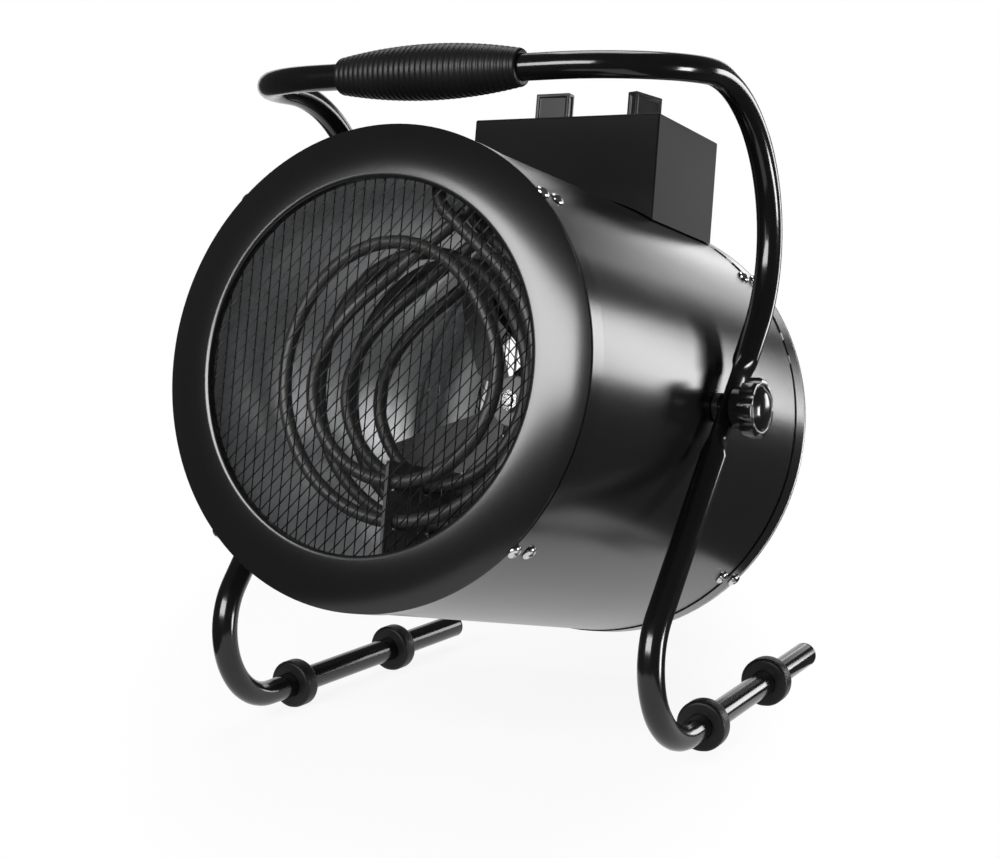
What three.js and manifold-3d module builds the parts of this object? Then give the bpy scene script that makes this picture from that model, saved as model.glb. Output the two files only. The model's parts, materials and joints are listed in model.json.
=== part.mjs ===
// A forced air heater: a steel drum with a fan and three heating elements, hung between
// the sides of a bent tube stand, with a control box on its back and a grip on its handle.
// Millimetres, +Z up, the air leaves towards -Y, the heater stands on z = 0.
import * as THREE from "three";
import { mergeVertices } from "three/addons/utils/BufferGeometryUtils.js";
import Module from "manifold-3d";

const wasm = await Module();
wasm.setup();

// ---- Driving dimensions ---------------------------------------------------------------

const fitGap = 0.3; // air left between two pieces that touch
const sheet = 1; // wall of the pressed and rolled sheet steel

// Drum
const drumLength = 319.6; // from the fold of the front ring to the fold of the rear ring
const ringRadius = 145; // outside of the two end rings
const casingRadius = ringRadius - 0.8; // outside of the rolled casing
const skirtLength = 16; // the ring's cylindrical part, from its fold to the seam
const ringFace = 33.6; // width of the face between the fold and the air opening
const openingRadius = ringRadius - ringFace;
const ringBulge = 8.2; // how far the face of a ring swells past its fold
const lipDepth = 6; // rolled lip round the opening
const drumTilt = 14; // degrees that the air is blown upwards
const pivotFromFront = 174; // pivot axis behind the front fold

// Guards: expanded mesh with one set of upright strands and one set that rises
const guardThickness = 1.2;
const guardStrand = 1.8;
const guardRim = 3; // solid rim outside the clear opening
const frontMeshPitch = 15.2; // between upright strands
const rearMeshPitch = 25;
const meshStretch = 1.34; // spacing along an upright strand, in pitches
const meshRise = 36.5; // degrees

// Joint hoops inside the two seams, and their screws
const hoopWall = 1.2;
const hoopLength = 28;
const hoopInset = 2; // from the fold of the ring
const screwFromFold = 5.5;
const screwBeyondSeam = 8;
const screwCount = 4;
const screwShank = 1.8; // radii and lengths of a pan head screw
const screwHead = 4.7;
const screwHeadHeight = 3.2;
const screwLength = 6;
const drumSides = 9 * screwCount; // so each screw sits on the middle of a flat

// Inner drum that keeps the casing cool
const coolingGap = 25.2; // air between the inner drum and the casing
const innerDrumRadius = casingRadius - coolingGap;
const innerDrumStart = skirtLength + screwBeyondSeam + screwShank + 4 * fitGap; // past the seam screws
const innerDrumLength = 180;
const innerDrumMouth = 2; // its front edge, just behind the guard

// Heating elements
const elementCount = 3;
const elementFirst = 40; // behind the front fold
const elementSpacing = 38.5;
const elementTube = 4.25; // radius
const turnRoom = 30.6; // from the outer turn to the inner drum
const turnStep = 23.4; // from the outer turn to the inner one
const outerTurn = innerDrumRadius - turnRoom;
const innerTurn = outerTurn - turnStep;
const innerTurnAhead = 5; // in front of the outer turn
const stepsPerTurn = 22;
const elementSides = 6;
const legSetback = 12; // the inner turn's leg stands this far behind the outer turn's
const nearLeg = 12; // where the two ends stand, across the drum
const farLeg = 30;
const legRoom = 14; // upright part of a leg inside the inner drum
const legOutside = 13; // and outside it
const legBend = innerDrumRadius - legRoom;
const legTop = innerDrumRadius + legOutside;
const legBendLength = 9;
const elementPlateWall = 2;
const elementPlateSide = 8; // plate beyond the outermost legs
const supportWall = 2;
const supportMargin = 8;

// Fan and motor
const motorRadius = 38;
const motorLength = 70;
const motorBack = drumLength - hoopInset - hoopLength + fitGap;
const motorFront = motorBack - motorLength;
const fanToMotor = 38;
const fanCentre = motorFront - fanToMotor;
const tipClearance = 14;
const fanRadius = innerDrumRadius - sheet - tipClearance;
const bladeCount = 4;
const bladeFrom = 161.4; // degrees round the shaft to the straight edge of the first blade
const bladePitch = 27; // degrees
const bladeWall = 1.4;
const bladeWidth = 35;
const hubRadius = 17;
const hubLength = 20;
const shaftRadius = 4;
const shaftBeyondHub = 8;
const shaftInMotor = 44;
const fanNutRadius = 7;
const fanNutLength = 6;
const motorBossRadius = 14;
const motorBossLength = 8;
const mountArmWidth = 18;
const mountWall = 2.5;
const mountPlateRadius = 34;

// Control box on the casing
const boxWidth = 140.2;
const boxLength = 94.4;
const boxFromRear = 11.4; // behind the box, to the fold of the rear ring
const boxFront = drumLength - boxFromRear - boxLength;
const boxRise = 54.2; // of its top, above the casing
const boxTop = casingRadius + boxRise; // above the drum axis
const boxWall = 1;
const knobAcross = 0.25 * boxWidth; // each knob from the middle of the box
const knobBack = boxLength / 2; // behind the front of the box
const edgeRound = 1.5; // slight rounding of moulded edges
const knobDisc = 18; // radius
const knobDiscHeight = 5.5;
const knobBarLength = 26;
const knobBarWidth = 8;
const thermostatKnobHeight = 26.8;
const selectorKnobHeight = 23.5;
const thermostatTurn = 0; // degrees at which each pointer stands
const selectorTurn = 73;
const spindleRadius = 3;
const spindleInKnob = 14;
const bushRadius = 5;
const controlWidth = 38;
const controlDepth = 34;
const controlHeight = 24;
const blockLength = 44;
const blockWidth = 16;
const blockHeight = 14;
const cutoutRadius = 9;
const cutoutHeight = 9;
const glandRadius = 11;
const glandBore = 4.5;
const glandHeight = casingRadius + 0.44 * boxRise; // above the drum axis
const glandOutside = 12;

// Stand
const tubeRadius = 8.25;
const tubeWall = 1.4;
const tubeSides = 10;
const boreSides = 6;
const flatHalfWall = 4; // the tube is pressed flat at the pivot
const pivotRoom = 4; // between the rings and the flat
const standHalfWidth = ringRadius + pivotRoom + flatHalfWall; // to the tube's middle
const pivotHeight = 205;
const legLean = 44.7; // degrees from upright
const kneeRadius = 47;
const elbowRadius = 96;
const elbowStart = 60.8; // along the leg, above the pivot
const handleRise = 5.35; // degrees by which the arm still rises where it meets the handle
const handleCorner = 70;
const footEnd = 140.7; // behind the pivot
const footToeIn = 3.4; // degrees
const flatWiden = 1.28; // and wider the other way
const flatReach = 23;
const flatBlend = 15;

// Grip, feet and plugs
const gripLength = 128;
const gripMiddle = 17.2; // radii of the grip
const gripEnd = 11.4;
const gripRibs = 33;
const ribDepth = 0.9;
const gripSides = 9;
const footRadius = 16;
const footSides = 12;
const footWidth = 12;
const footFlat = 0.5; // the rubber is pressed flat where it stands
const footChamfer = 2.2;
const frontFoot = -48.8; // behind the pivot
const rearFoot = 65.2;
const plugCap = 2.5;
const plugDepth = 12;

// Clamp knobs
const studRadius = 4;
const studInKnob = 9;
const studInDrum = 11;
const clampRadius = 19;
const clampNeck = 13;
const clampNeckLength = 8.2;
const clampLength = 9.7;
const clampDome = 3.5;
const clampLobes = 7;
const clampLobeDepth = 2.4;
const spacerRadius = 9;
const nutRadius = 8;
const nutLength = 6;

// ---- Materials ------------------------------------------------------------------------

const finish = (colour, roughness, metalness) =>
  new THREE.MeshStandardMaterial({ color: colour, roughness, metalness });

const satinBlack = () => finish(0x161617, 0.42, 0.3);
const boxBlack = () => finish(0x1b1b1c, 0.55, 0.2);
const glossBlack = () => finish(0x101010, 0.25, 0.25);
const rubberBlack = () => finish(0x141414, 0.8, 0);
const plasticBlack = () => finish(0x18181a, 0.4, 0);
const zincPlate = () => finish(0xc9cbcd, 0.25, 1);
const galvanised = () => finish(0x9da1a4, 0.4, 0.9);
const elementSteel = () => finish(0x4b4b4a, 0.5, 0.8);
const fanAluminium = () => finish(0xb4b6b8, 0.35, 1);
const motorGrey = () => finish(0x55585b, 0.5, 0.6);
const paleNylon = () => finish(0xd8d6cf, 0.5, 0);

// ---- Solids ---------------------------------------------------------------------------

const radians = THREE.MathUtils.degToRad;

function toSolid(geometry) {
  const bare = new THREE.BufferGeometry();
  const source = geometry.index ? geometry.toNonIndexed() : geometry;
  bare.setAttribute("position", source.getAttribute("position").clone());
  const merged = mergeVertices(bare, 1e-4);
  return new wasm.Manifold(
    new wasm.Mesh({
      numProp: 3,
      vertProperties: merged.getAttribute("position").array,
      triVerts: new Uint32Array(merged.index.array),
    }),
  );
}

function toGeometry(solid) {
  const mesh = solid.getMesh();
  const geometry = new THREE.BufferGeometry();
  geometry.setAttribute("position", new THREE.BufferAttribute(mesh.vertProperties, 3));
  geometry.setIndex(new THREE.BufferAttribute(mesh.triVerts, 1));
  return geometry;
}

const join = (first, ...rest) =>
  toGeometry(rest.reduce((whole, next) => whole.add(toSolid(next)), toSolid(first)));

const cut = (body, ...tools) =>
  toGeometry(tools.reduce((whole, next) => whole.subtract(toSolid(next)), toSolid(body)));

// A closed profile of [radius, along the axis] turned about Y.
function revolve(profile, segments) {
  const area = profile.reduce((sum, [r, y], i) => {
    const [nextR, nextY] = profile[(i + 1) % profile.length];
    return sum + r * nextY - nextR * y;
  }, 0);
  const ordered = area > 0 ? [...profile] : [...profile].reverse();
  const onAxis = ordered.findIndex(([r], i) => {
    const before = ordered[(i + ordered.length - 1) % ordered.length];
    return r === 0 && before[0] === 0;
  });
  const points =
    onAxis < 0
      ? [...ordered, ordered[0]]
      : [...ordered.slice(onAxis), ...ordered.slice(0, onAxis)];
  return new THREE.LatheGeometry(
    points.map(([r, y]) => new THREE.Vector2(r, y)),
    segments,
  );
}

// A rod along Y from one place to another.
const rod = (radius, from, to, sides) =>
  revolve([[0, from], [radius, from], [radius, to], [0, to]], sides);

// The corner radius of a faceted bore whose flats clear a round of this radius.
const boreOver = (radius, sides) => (radius + fitGap) / Math.cos(Math.PI / sides);

const block = (width, length, height, x, y, z) =>
  new THREE.BoxGeometry(width, length, height).translate(x, y, z);

function extrude(outline, holes, depth) {
  const shape = new THREE.Shape(outline.map(([x, y]) => new THREE.Vector2(x, y)));
  shape.holes = holes.map(
    (hole) => new THREE.Path(hole.map(([x, y]) => new THREE.Vector2(x, y))),
  );
  return new THREE.ExtrudeGeometry(shape, { depth, bevelEnabled: false });
}

function polygon(radius, sides, turn = 0) {
  return Array.from({ length: sides }, (_, i) => {
    const angle = turn + (i / sides) * 2 * Math.PI;
    return [radius * Math.cos(angle), radius * Math.sin(angle)];
  });
}

// A path that keeps exactly the points it is given, so bends can have more than straights.
class StationPath extends THREE.Curve {
  constructor(stations) {
    super();
    this.stations = stations;
  }

  getPoint(t, target = new THREE.Vector3()) {
    const place = t * (this.stations.length - 1);
    const i = Math.min(Math.floor(place), this.stations.length - 2);
    return target.lerpVectors(this.stations[i], this.stations[i + 1], place - i);
  }

  getPointAt(u, target) {
    return this.getPoint(u, target);
  }

  getTangentAt(u, target = new THREE.Vector3()) {
    const last = this.stations.length - 1;
    const i = Math.round(u * last);
    const ahead = this.stations[Math.min(i + 1, last)].clone();
    const here = this.stations[i];
    const behind = this.stations[Math.max(i - 1, 0)].clone();
    ahead.sub(here).normalize();
    behind.sub(here).normalize();
    if (i === last) return target.copy(behind).negate();
    if (i === 0) return target.copy(ahead);
    return target.copy(ahead).sub(behind).normalize();
  }
}

function sweep(stations, outline, holes = []) {
  const shape = new THREE.Shape(outline.map(([x, y]) => new THREE.Vector2(x, y)));
  shape.holes = holes.map(
    (hole) => new THREE.Path(hole.map(([x, y]) => new THREE.Vector2(x, y))),
  );
  return new THREE.ExtrudeGeometry(shape, {
    steps: stations.length - 1,
    extrudePath: new StationPath(stations),
    bevelEnabled: false,
  });
}

// ---- Assembly -------------------------------------------------------------------------

const heater = new THREE.Group();
const stand = new THREE.Group();
const tilting = new THREE.Group();
const drum = new THREE.Group(); // y counts from the fold of the front ring
tilting.position.z = pivotHeight;
tilting.rotation.x = -radians(drumTilt);
drum.position.y = -pivotFromFront;
tilting.add(drum);
heater.add(stand, tilting);

function place(group, name, geometry, material) {
  const mesh = new THREE.Mesh(geometry, material);
  mesh.name = name;
  group.add(mesh);
  return mesh;
}

// ---- Stand tube -----------------------------------------------------------------------

const tubeHeight = footRadius - footFlat;
const lean = radians(legLean);
const rise = radians(handleRise);
const toe = radians(footToeIn);
const upLeg = [Math.sin(lean), Math.cos(lean)]; // along the leg, as [y, z]
const offLeg = [-Math.cos(lean), Math.sin(lean)]; // square to the leg, forwards and up
const kneeAlong =
  (tubeHeight + kneeRadius - pivotHeight + kneeRadius * offLeg[1]) / upLeg[1];
const alongLeg = (t) => [t * upLeg[0], pivotHeight + t * upLeg[1]];
const kneeCentre = [
  alongLeg(kneeAlong)[0] - kneeRadius * offLeg[0],
  tubeHeight + kneeRadius,
];
const elbowCentre = [
  alongLeg(elbowStart)[0] + elbowRadius * offLeg[0],
  alongLeg(elbowStart)[1] + elbowRadius * offLeg[1],
];
const armEndAngle = Math.PI / 2 - rise;
const armEnd = [
  elbowCentre[0] + elbowRadius * Math.cos(armEndAngle),
  elbowCentre[1] + elbowRadius * Math.sin(armEndAngle),
];
const armWay = [-Math.cos(rise), Math.sin(rise)];
const handle = {
  y: armEnd[0] + handleCorner * armWay[0],
  z: armEnd[1] + handleCorner * armWay[1],
};
const footAcross = (y) => standHalfWidth - Math.max(0, y - kneeCentre[0]) * Math.tan(toe);

// One side of the stand, from the end of its foot to the start of the handle.
function sideStations() {
  const stations = [];
  const add = (x, y, z) => stations.push(new THREE.Vector3(x, y, z));
  const arc = (centre, radius, from, to, steps) => {
    for (let i = 0; i <= steps; i += 1) {
      const angle = from + ((to - from) * i) / steps;
      const y = centre[0] + radius * Math.cos(angle);
      add(standHalfWidth, y, centre[1] + radius * Math.sin(angle));
    }
  };
  add(footAcross(footEnd), footEnd, tubeHeight);
  const kneeTop = -lean - Math.PI; // where the knee meets the leg
  arc(kneeCentre, kneeRadius, -Math.PI / 2, kneeTop, 9);
  const flatStations = [
    -flatReach - flatBlend,
    -flatReach - flatBlend / 2,
    -flatReach,
    flatReach,
    flatReach + flatBlend / 2,
    flatReach + flatBlend,
  ];
  flatStations.forEach((t) => add(standHalfWidth, ...alongLeg(t)));
  arc(elbowCentre, elbowRadius, -lean, armEndAngle, 10);
  for (let i = 1; i <= 7; i += 1) {
    const angle = ((i / 7) * Math.PI) / 2;
    const across = standHalfWidth - handleCorner * (1 - Math.cos(angle));
    const forward = handleCorner * Math.sin(angle);
    add(across, armEnd[0] + forward * armWay[0], armEnd[1] + forward * armWay[1]);
  }
  return stations;
}

// Presses the tube flat round the pivot, thinner across the stand and wider along its side.
function pressFlat(geometry) {
  const at = geometry.getAttribute("position");
  const ease = (s) => s * s * (3 - 2 * s);
  for (let i = 0; i < at.count; i += 1) {
    const side = Math.sign(at.getX(i));
    const y = at.getY(i);
    const z = at.getZ(i) - pivotHeight;
    const t = Math.abs(y * upLeg[0] + z * upLeg[1]);
    const off = y * offLeg[0] + z * offLeg[1];
    if (t > flatReach + flatBlend || Math.abs(off) > 2 * tubeRadius) continue;
    const amount = t < flatReach ? 1 : 1 - ease((t - flatReach) / flatBlend);
    const thin = 1 + (flatHalfWall / tubeRadius - 1) * amount;
    const wide = (flatWiden - 1) * amount * off;
    const across = at.getX(i) * side - standHalfWidth;
    at.setX(i, side * (standHalfWidth + across * thin));
    at.setY(i, y + wide * offLeg[0]);
    at.setZ(i, at.getZ(i) + wide * offLeg[1]);
  }
  return geometry;
}

function standTube() {
  const right = sideStations();
  const left = right.map((p) => new THREE.Vector3(-p.x, p.y, p.z)).reverse();
  const tube = sweep(
    [...right, ...left],
    polygon(tubeRadius, tubeSides, Math.PI / tubeSides),
    [polygon(tubeRadius - tubeWall, boreSides, Math.PI / boreSides)],
  );
  const studHole = rod(
    studRadius + 2 * fitGap,
    -standHalfWidth - 2 * tubeRadius,
    standHalfWidth + 2 * tubeRadius,
    10,
  )
    .rotateZ(Math.PI / 2)
    .translate(0, 0, pivotHeight);
  return cut(pressFlat(tube), studHole);
}

place(stand, "stand_tube", standTube(), satinBlack());

// ---- Grip, feet and end plugs ---------------------------------------------------------

function ribbedGrip() {
  const bore = boreOver(tubeRadius, gripSides);
  const profile = [[bore, -gripLength / 2]];
  const pitch = gripLength / gripRibs;
  const swell = (s) => gripEnd + (gripMiddle - gripEnd) * (1 - (2 * s) ** 2);
  for (let i = 0; i < gripRibs; i += 1) {
    const start = -gripLength / 2 + i * pitch;
    const crest = swell((start + pitch / 2) / gripLength);
    profile.push([crest - ribDepth, start], [crest, start + pitch / 2]);
  }
  profile.push([gripEnd - ribDepth, gripLength / 2], [bore, gripLength / 2]);
  return revolve(profile, gripSides).rotateZ(Math.PI / 2);
}

const grip = place(stand, "handle_grip", ribbedGrip(), rubberBlack());
grip.position.set(0, handle.y, handle.z);

function footRing() {
  const bore = boreOver(tubeRadius, footSides);
  const half = footWidth / 2;
  const ring = revolve(
    [
      [bore, -half],
      [footRadius - footChamfer, -half],
      [footRadius, -half + footChamfer],
      [footRadius, half - footChamfer],
      [footRadius - footChamfer, half],
      [bore, half],
    ],
    footSides,
  );
  const floor = block(4 * footRadius, 4 * footWidth, footRadius, 0, 0, -1.5 * footRadius + footFlat);
  return cut(ring, floor);
}

function placeFoot(name, side, behind) {
  const ring = place(stand, name, footRing(), rubberBlack());
  ring.position.set(side * footAcross(behind), behind, tubeHeight);
  ring.rotation.z = side * toe;
}

placeFoot("foot_ring_front_left", -1, frontFoot);
placeFoot("foot_ring_front_right", 1, frontFoot);
placeFoot("foot_ring_rear_left", -1, rearFoot);
placeFoot("foot_ring_rear_right", 1, rearFoot);

function endPlug() {
  const stem = (tubeRadius - tubeWall) * Math.cos(Math.PI / boreSides) - fitGap;
  return revolve(
    [
      [0, -plugDepth],
      [stem, -plugDepth],
      [stem, fitGap],
      [tubeRadius, fitGap],
      [tubeRadius, plugCap - 1],
      [tubeRadius - 1, plugCap],
      [0, plugCap],
    ],
    10,
  );
}

for (const [side, word] of [[-1, "left"], [1, "right"]]) {
  const plug = place(stand, `foot_plug_${word}`, endPlug(), plasticBlack());
  plug.position.set(side * footAcross(footEnd), footEnd, tubeHeight);
  plug.rotation.z = side * toe;
}

// ---- Drum shell -----------------------------------------------------------------------

const screwAngles = Array.from(
  { length: screwCount },
  (_, i) => ((i + 0.5) / screwCount) * 2 * Math.PI,
);

// Points a tool that lies along +Z out through the drum's wall.
const radial = (geometry, angle, y) => geometry.rotateY(angle).translate(0, y, 0);

function screwHoles(y) {
  return screwAngles.map((angle) =>
    radial(
      rod(screwShank + fitGap, casingRadius - 2 * screwLength, ringRadius + screwLength, 6).rotateX(Math.PI / 2),
      angle,
      y,
    ),
  );
}

const seamScrew = skirtLength + screwBeyondSeam;
const fromRear = (y) => drumLength - y;
const turnedRound = (geometry) => geometry.rotateX(Math.PI).translate(0, drumLength, 0);

function endRing() {
  const r = openingRadius;
  const face = [
    [ringRadius, skirtLength],
    [ringRadius, 0],
    [ringRadius - 0.15 * ringFace, -0.45 * ringBulge],
    [ringRadius - 0.45 * ringFace, -0.85 * ringBulge],
    [r + 0.27 * ringFace, -ringBulge],
    [r + 0.06 * ringFace, -0.97 * ringBulge],
    [r, -0.8 * ringBulge],
    [r, lipDepth - ringBulge],
  ];
  const back = [
    [r + sheet, lipDepth - ringBulge],
    [r + 2 * sheet, -ringBulge + 2.2 * sheet],
    [ringRadius - 0.45 * ringFace, -0.85 * ringBulge + 1.2 * sheet],
    [ringRadius - sheet, sheet],
    [ringRadius - sheet, skirtLength],
  ];
  return cut(revolve([...face, ...back], drumSides), ...screwHoles(screwFromFold));
}

place(drum, "front_ring", endRing(), satinBlack());
place(drum, "rear_ring", turnedRound(endRing()), satinBlack());

function casing() {
  const from = skirtLength + fitGap;
  const to = fromRear(skirtLength) - fitGap;
  const shell = revolve(
    [
      [casingRadius - sheet, from],
      [casingRadius, from],
      [casingRadius, to],
      [casingRadius - sheet, to],
    ],
    drumSides,
  );
  const pivotHole = rod(studRadius + 2 * fitGap, -2 * ringRadius, 2 * ringRadius, 10)
    .rotateZ(Math.PI / 2)
    .translate(0, pivotFromFront, 0);
  return cut(
    shell,
    ...screwHoles(seamScrew),
    ...screwHoles(fromRear(seamScrew)),
    pivotHole,
  );
}

place(drum, "casing", casing(), satinBlack());

function jointHoop() {
  const outside = casingRadius - sheet - fitGap;
  const end = hoopInset + hoopLength;
  const profile = [
    [outside, hoopInset],
    [outside, end],
    [outside - hoopWall, end],
    [outside - hoopWall, hoopInset],
  ];
  return cut(
    revolve(profile, drumSides),
    ...screwHoles(screwFromFold),
    ...screwHoles(seamScrew),
  );
}

place(drum, "front_joint_hoop", jointHoop(), galvanised());
place(drum, "rear_joint_hoop", turnedRound(jointHoop()), galvanised());

function panScrew() {
  const neck = [
    [0, -screwLength],
    [screwShank, -screwLength],
    [screwShank, fitGap],
    [screwHead, fitGap],
    [screwHead, 0.45 * screwHeadHeight],
    [0.6 * screwHead, screwHeadHeight],
    [0, screwHeadHeight],
  ];
  return revolve(neck, 7).rotateX(Math.PI / 2);
}

function placeScrews(label, y, radius) {
  const surface = radius * Math.cos(Math.PI / drumSides);
  screwAngles.forEach((angle, i) => {
    const screw = place(drum, `${label}_${i + 1}`, panScrew(), zincPlate());
    screw.position.set(surface * Math.sin(angle), y, surface * Math.cos(angle));
    screw.rotation.y = angle;
  });
}

placeScrews("front_ring_screw", screwFromFold, ringRadius);
placeScrews("front_casing_screw", seamScrew, casingRadius);
placeScrews("rear_ring_screw", fromRear(screwFromFold), ringRadius);
placeScrews("rear_casing_screw", fromRear(seamScrew), casingRadius);

// ---- Guards ---------------------------------------------------------------------------

// The part of a convex cell that lies inside a convex outline.
function clip(cell, outline) {
  return outline.reduce((kept, a, i) => {
    const b = outline[(i + 1) % outline.length];
    const inside = ([x, y]) => (b[0] - a[0]) * (y - a[1]) - (b[1] - a[1]) * (x - a[0]);
    return kept.flatMap((p, j) => {
      const q = kept[(j + 1) % kept.length];
      const [dp, dq] = [inside(p), inside(q)];
      const points = dp >= 0 ? [p] : [];
      if (dp >= 0 !== dq >= 0) {
        const s = dp / (dp - dq);
        points.push([p[0] + s * (q[0] - p[0]), p[1] + s * (q[1] - p[1])]);
      }
      return points;
    });
  }, cell);
}

function areaOf(outline) {
  return outline.reduce((sum, [x, y], i) => {
    const [nextX, nextY] = outline[(i + 1) % outline.length];
    return sum + (x * nextY - nextX * y) / 2;
  }, 0);
}

// A disc of expanded mesh across Y, its front face at y = 0.
function meshGuard(pitch) {
  const along = pitch * meshStretch;
  const step = pitch * Math.tan(radians(meshRise));
  const slantGap = guardStrand / Math.cos(radians(meshRise));
  const clear = polygon(openingRadius - fitGap, 30);
  const span = Math.ceil((2 * openingRadius) / pitch) + 2;
  const cells = [];
  for (let i = -span; i <= span; i += 1) {
    for (let j = -span; j <= span; j += 1) {
      const left = i * pitch + guardStrand / 2;
      const right = (i + 1) * pitch - guardStrand / 2;
      const bottom = (x) => j * along + (x / pitch) * step + slantGap / 2;
      const top = (x) => bottom(x) + along - slantGap;
      const cell = [
        [left, bottom(left)],
        [right, bottom(right)],
        [right, top(right)],
        [left, top(left)],
      ];
      const kept = clip(cell, clear).filter(
        ([x, y], k, all) => {
          const [nextX, nextY] = all[(k + 1) % all.length];
          return Math.hypot(nextX - x, nextY - y) > 0.3;
        },
      );
      if (kept.length > 2 && areaOf(kept) > 0.2 * pitch * along) cells.push(kept);
    }
  }
  const rim = polygon(openingRadius + guardRim, drumSides);
  console.log(`mesh guard with ${cells.length} gaps`);
  const punches = cells.map((cell) =>
    extrude(cell, [], 3 * guardThickness).translate(0, 0, -guardThickness),
  );
  return cut(extrude(rim, [], guardThickness), ...punches).rotateX(Math.PI / 2);
}

// The lips of the rings end at this depth; each guard lies just behind its ring's lip.
const guardSeat = lipDepth - ringBulge + fitGap;

place(
  drum,
  "front_guard",
  meshGuard(frontMeshPitch).translate(0, guardSeat + guardThickness, 0),
  satinBlack(),
);
place(
  drum,
  "rear_guard",
  turnedRound(meshGuard(rearMeshPitch).translate(0, guardSeat + guardThickness, 0)),
  satinBlack(),
);

// ---- Inner drum and heating elements --------------------------------------------------

const innerWall = innerDrumRadius - sheet;
const elementPlaces = Array.from(
  { length: elementCount },
  (_, i) => elementFirst + i * elementSpacing,
);
const legRows = elementPlaces.flatMap((y) => [
  [nearLeg, y],
  [farLeg, y + legSetback],
]);
const plateSize = {
  left: nearLeg - elementPlateSide - elementTube,
  right: farLeg + elementPlateSide + elementTube,
  front: Math.max(
    innerDrumStart + sheet + fitGap,
    elementPlaces[0] - elementPlateSide - elementTube,
  ),
  back: elementPlaces[elementCount - 1] + legSetback + elementPlateSide + elementTube,
};
plateSize.left = Math.min(plateSize.left, -elementPlateSide);

function innerDrum() {
  const flange = casingRadius - sheet - hoopWall - 2 * fitGap;
  const shell = revolve(
    [
      [innerWall, innerDrumMouth],
      [innerDrumRadius, innerDrumMouth],
      [innerDrumRadius, innerDrumStart],
      [flange, innerDrumStart],
      [flange, innerDrumStart + sheet],
      [innerDrumRadius, innerDrumStart + sheet],
      [innerDrumRadius, innerDrumStart + innerDrumLength],
      [innerWall, innerDrumStart + innerDrumLength],
    ],
    drumSides,
  );
  const window = block(
    farLeg - nearLeg + 4 * elementTube,
    plateSize.back - plateSize.front - elementPlateSide,
    innerDrumRadius / 2,
    (nearLeg + farLeg) / 2,
    (plateSize.front + plateSize.back) / 2,
    innerDrumRadius,
  );
  return cut(shell, window);
}

place(drum, "inner_drum", innerDrum(), galvanised());

function elementPlate() {
  const bottom = innerDrumRadius + fitGap;
  const plate = block(
    plateSize.right - plateSize.left,
    plateSize.back - plateSize.front,
    elementPlateWall,
    (plateSize.right + plateSize.left) / 2,
    (plateSize.back + plateSize.front) / 2,
    bottom + elementPlateWall / 2,
  );
  const holes = legRows.map(([x, y]) =>
    rod(elementTube + 2 * fitGap, -3 * elementPlateWall, 3 * elementPlateWall, 10)
      .rotateX(Math.PI / 2)
      .translate(x, y, bottom),
  );
  return cut(plate, ...holes);
}

place(drum, "element_plate", elementPlate(), galvanised());

// Angle from the top, clockwise from the front, at which a line from a circle round the
// drum's axis reaches a point as a tangent. turn is 1 where the line leaves clockwise.
function tangentAngle(radius, x, z, turn) {
  return Math.atan2(x, z) - turn * Math.acos(radius / Math.hypot(x, z));
}

// One tube: down a leg, round the outer turn, round the inner turn, and back up.
function elementStations(front) {
  const onTurn = (angle, radius, back) =>
    new THREE.Vector3(radius * Math.sin(angle), front + back, radius * Math.cos(angle));
  const start = tangentAngle(outerTurn, nearLeg, legBend, -1);
  const end = tangentAngle(innerTurn, farLeg, legBend, 1) + 4 * Math.PI;
  const ease = (s) => THREE.MathUtils.smoothstep(s, 0, 1);
  const steps = Math.round(((end - start) / (2 * Math.PI)) * stepsPerTurn);
  const turns = Array.from({ length: steps + 1 }, (_, i) => {
    const angle = start + ((end - start) * i) / steps;
    const inwards = ease((angle - 1.75 * Math.PI) / (0.6 * Math.PI));
    const backwards = ease((angle - 3.4 * Math.PI) / (end - 3.4 * Math.PI));
    const back = (legSetback + innerTurnAhead) * backwards - innerTurnAhead * inwards;
    return onTurn(angle, outerTurn + (innerTurn - outerTurn) * inwards, back);
  });
  const bend = (x, back, towards) => {
    const corner = new THREE.Vector3(x, front + back, legBend);
    const above = new THREE.Vector3(x, front + back, legBend + legBendLength);
    const along = corner
      .clone()
      .add(towards.clone().sub(corner).setLength(legBendLength));
    return new THREE.QuadraticBezierCurve3(above, corner, along).getPoints(4);
  };
  const first = bend(nearLeg, 0, turns[0]);
  const last = bend(farLeg, legSetback, turns[steps]).reverse();
  return [
    new THREE.Vector3(nearLeg, front, legTop),
    ...first,
    ...turns,
    ...last,
    new THREE.Vector3(farLeg, front + legSetback, legTop),
  ];
}

// The least air between two stretches of one tube that are not neighbours along it.
function leastGap(stations, radius) {
  const curve = new StationPath(stations);
  const count = 8 * (stations.length - 1);
  const points = curve.getPoints(count);
  let least = Infinity;
  points.forEach((p, i) => {
    let along = 0;
    for (let j = i + 1; j < points.length; j += 1) {
      along += points[j].distanceTo(points[j - 1]);
      if (along > 8 * radius) least = Math.min(least, p.distanceTo(points[j]) - 2 * radius);
    }
  });
  return least;
}

elementPlaces.forEach((front, i) => {
  const stations = elementStations(front);
  console.log(`element ${i + 1}: least gap ${leastGap(stations, elementTube).toFixed(2)} mm`);
  place(
    drum,
    `heating_element_${i + 1}`,
    sweep(stations, polygon(elementTube, elementSides)),
    elementSteel(),
  );
});

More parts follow.
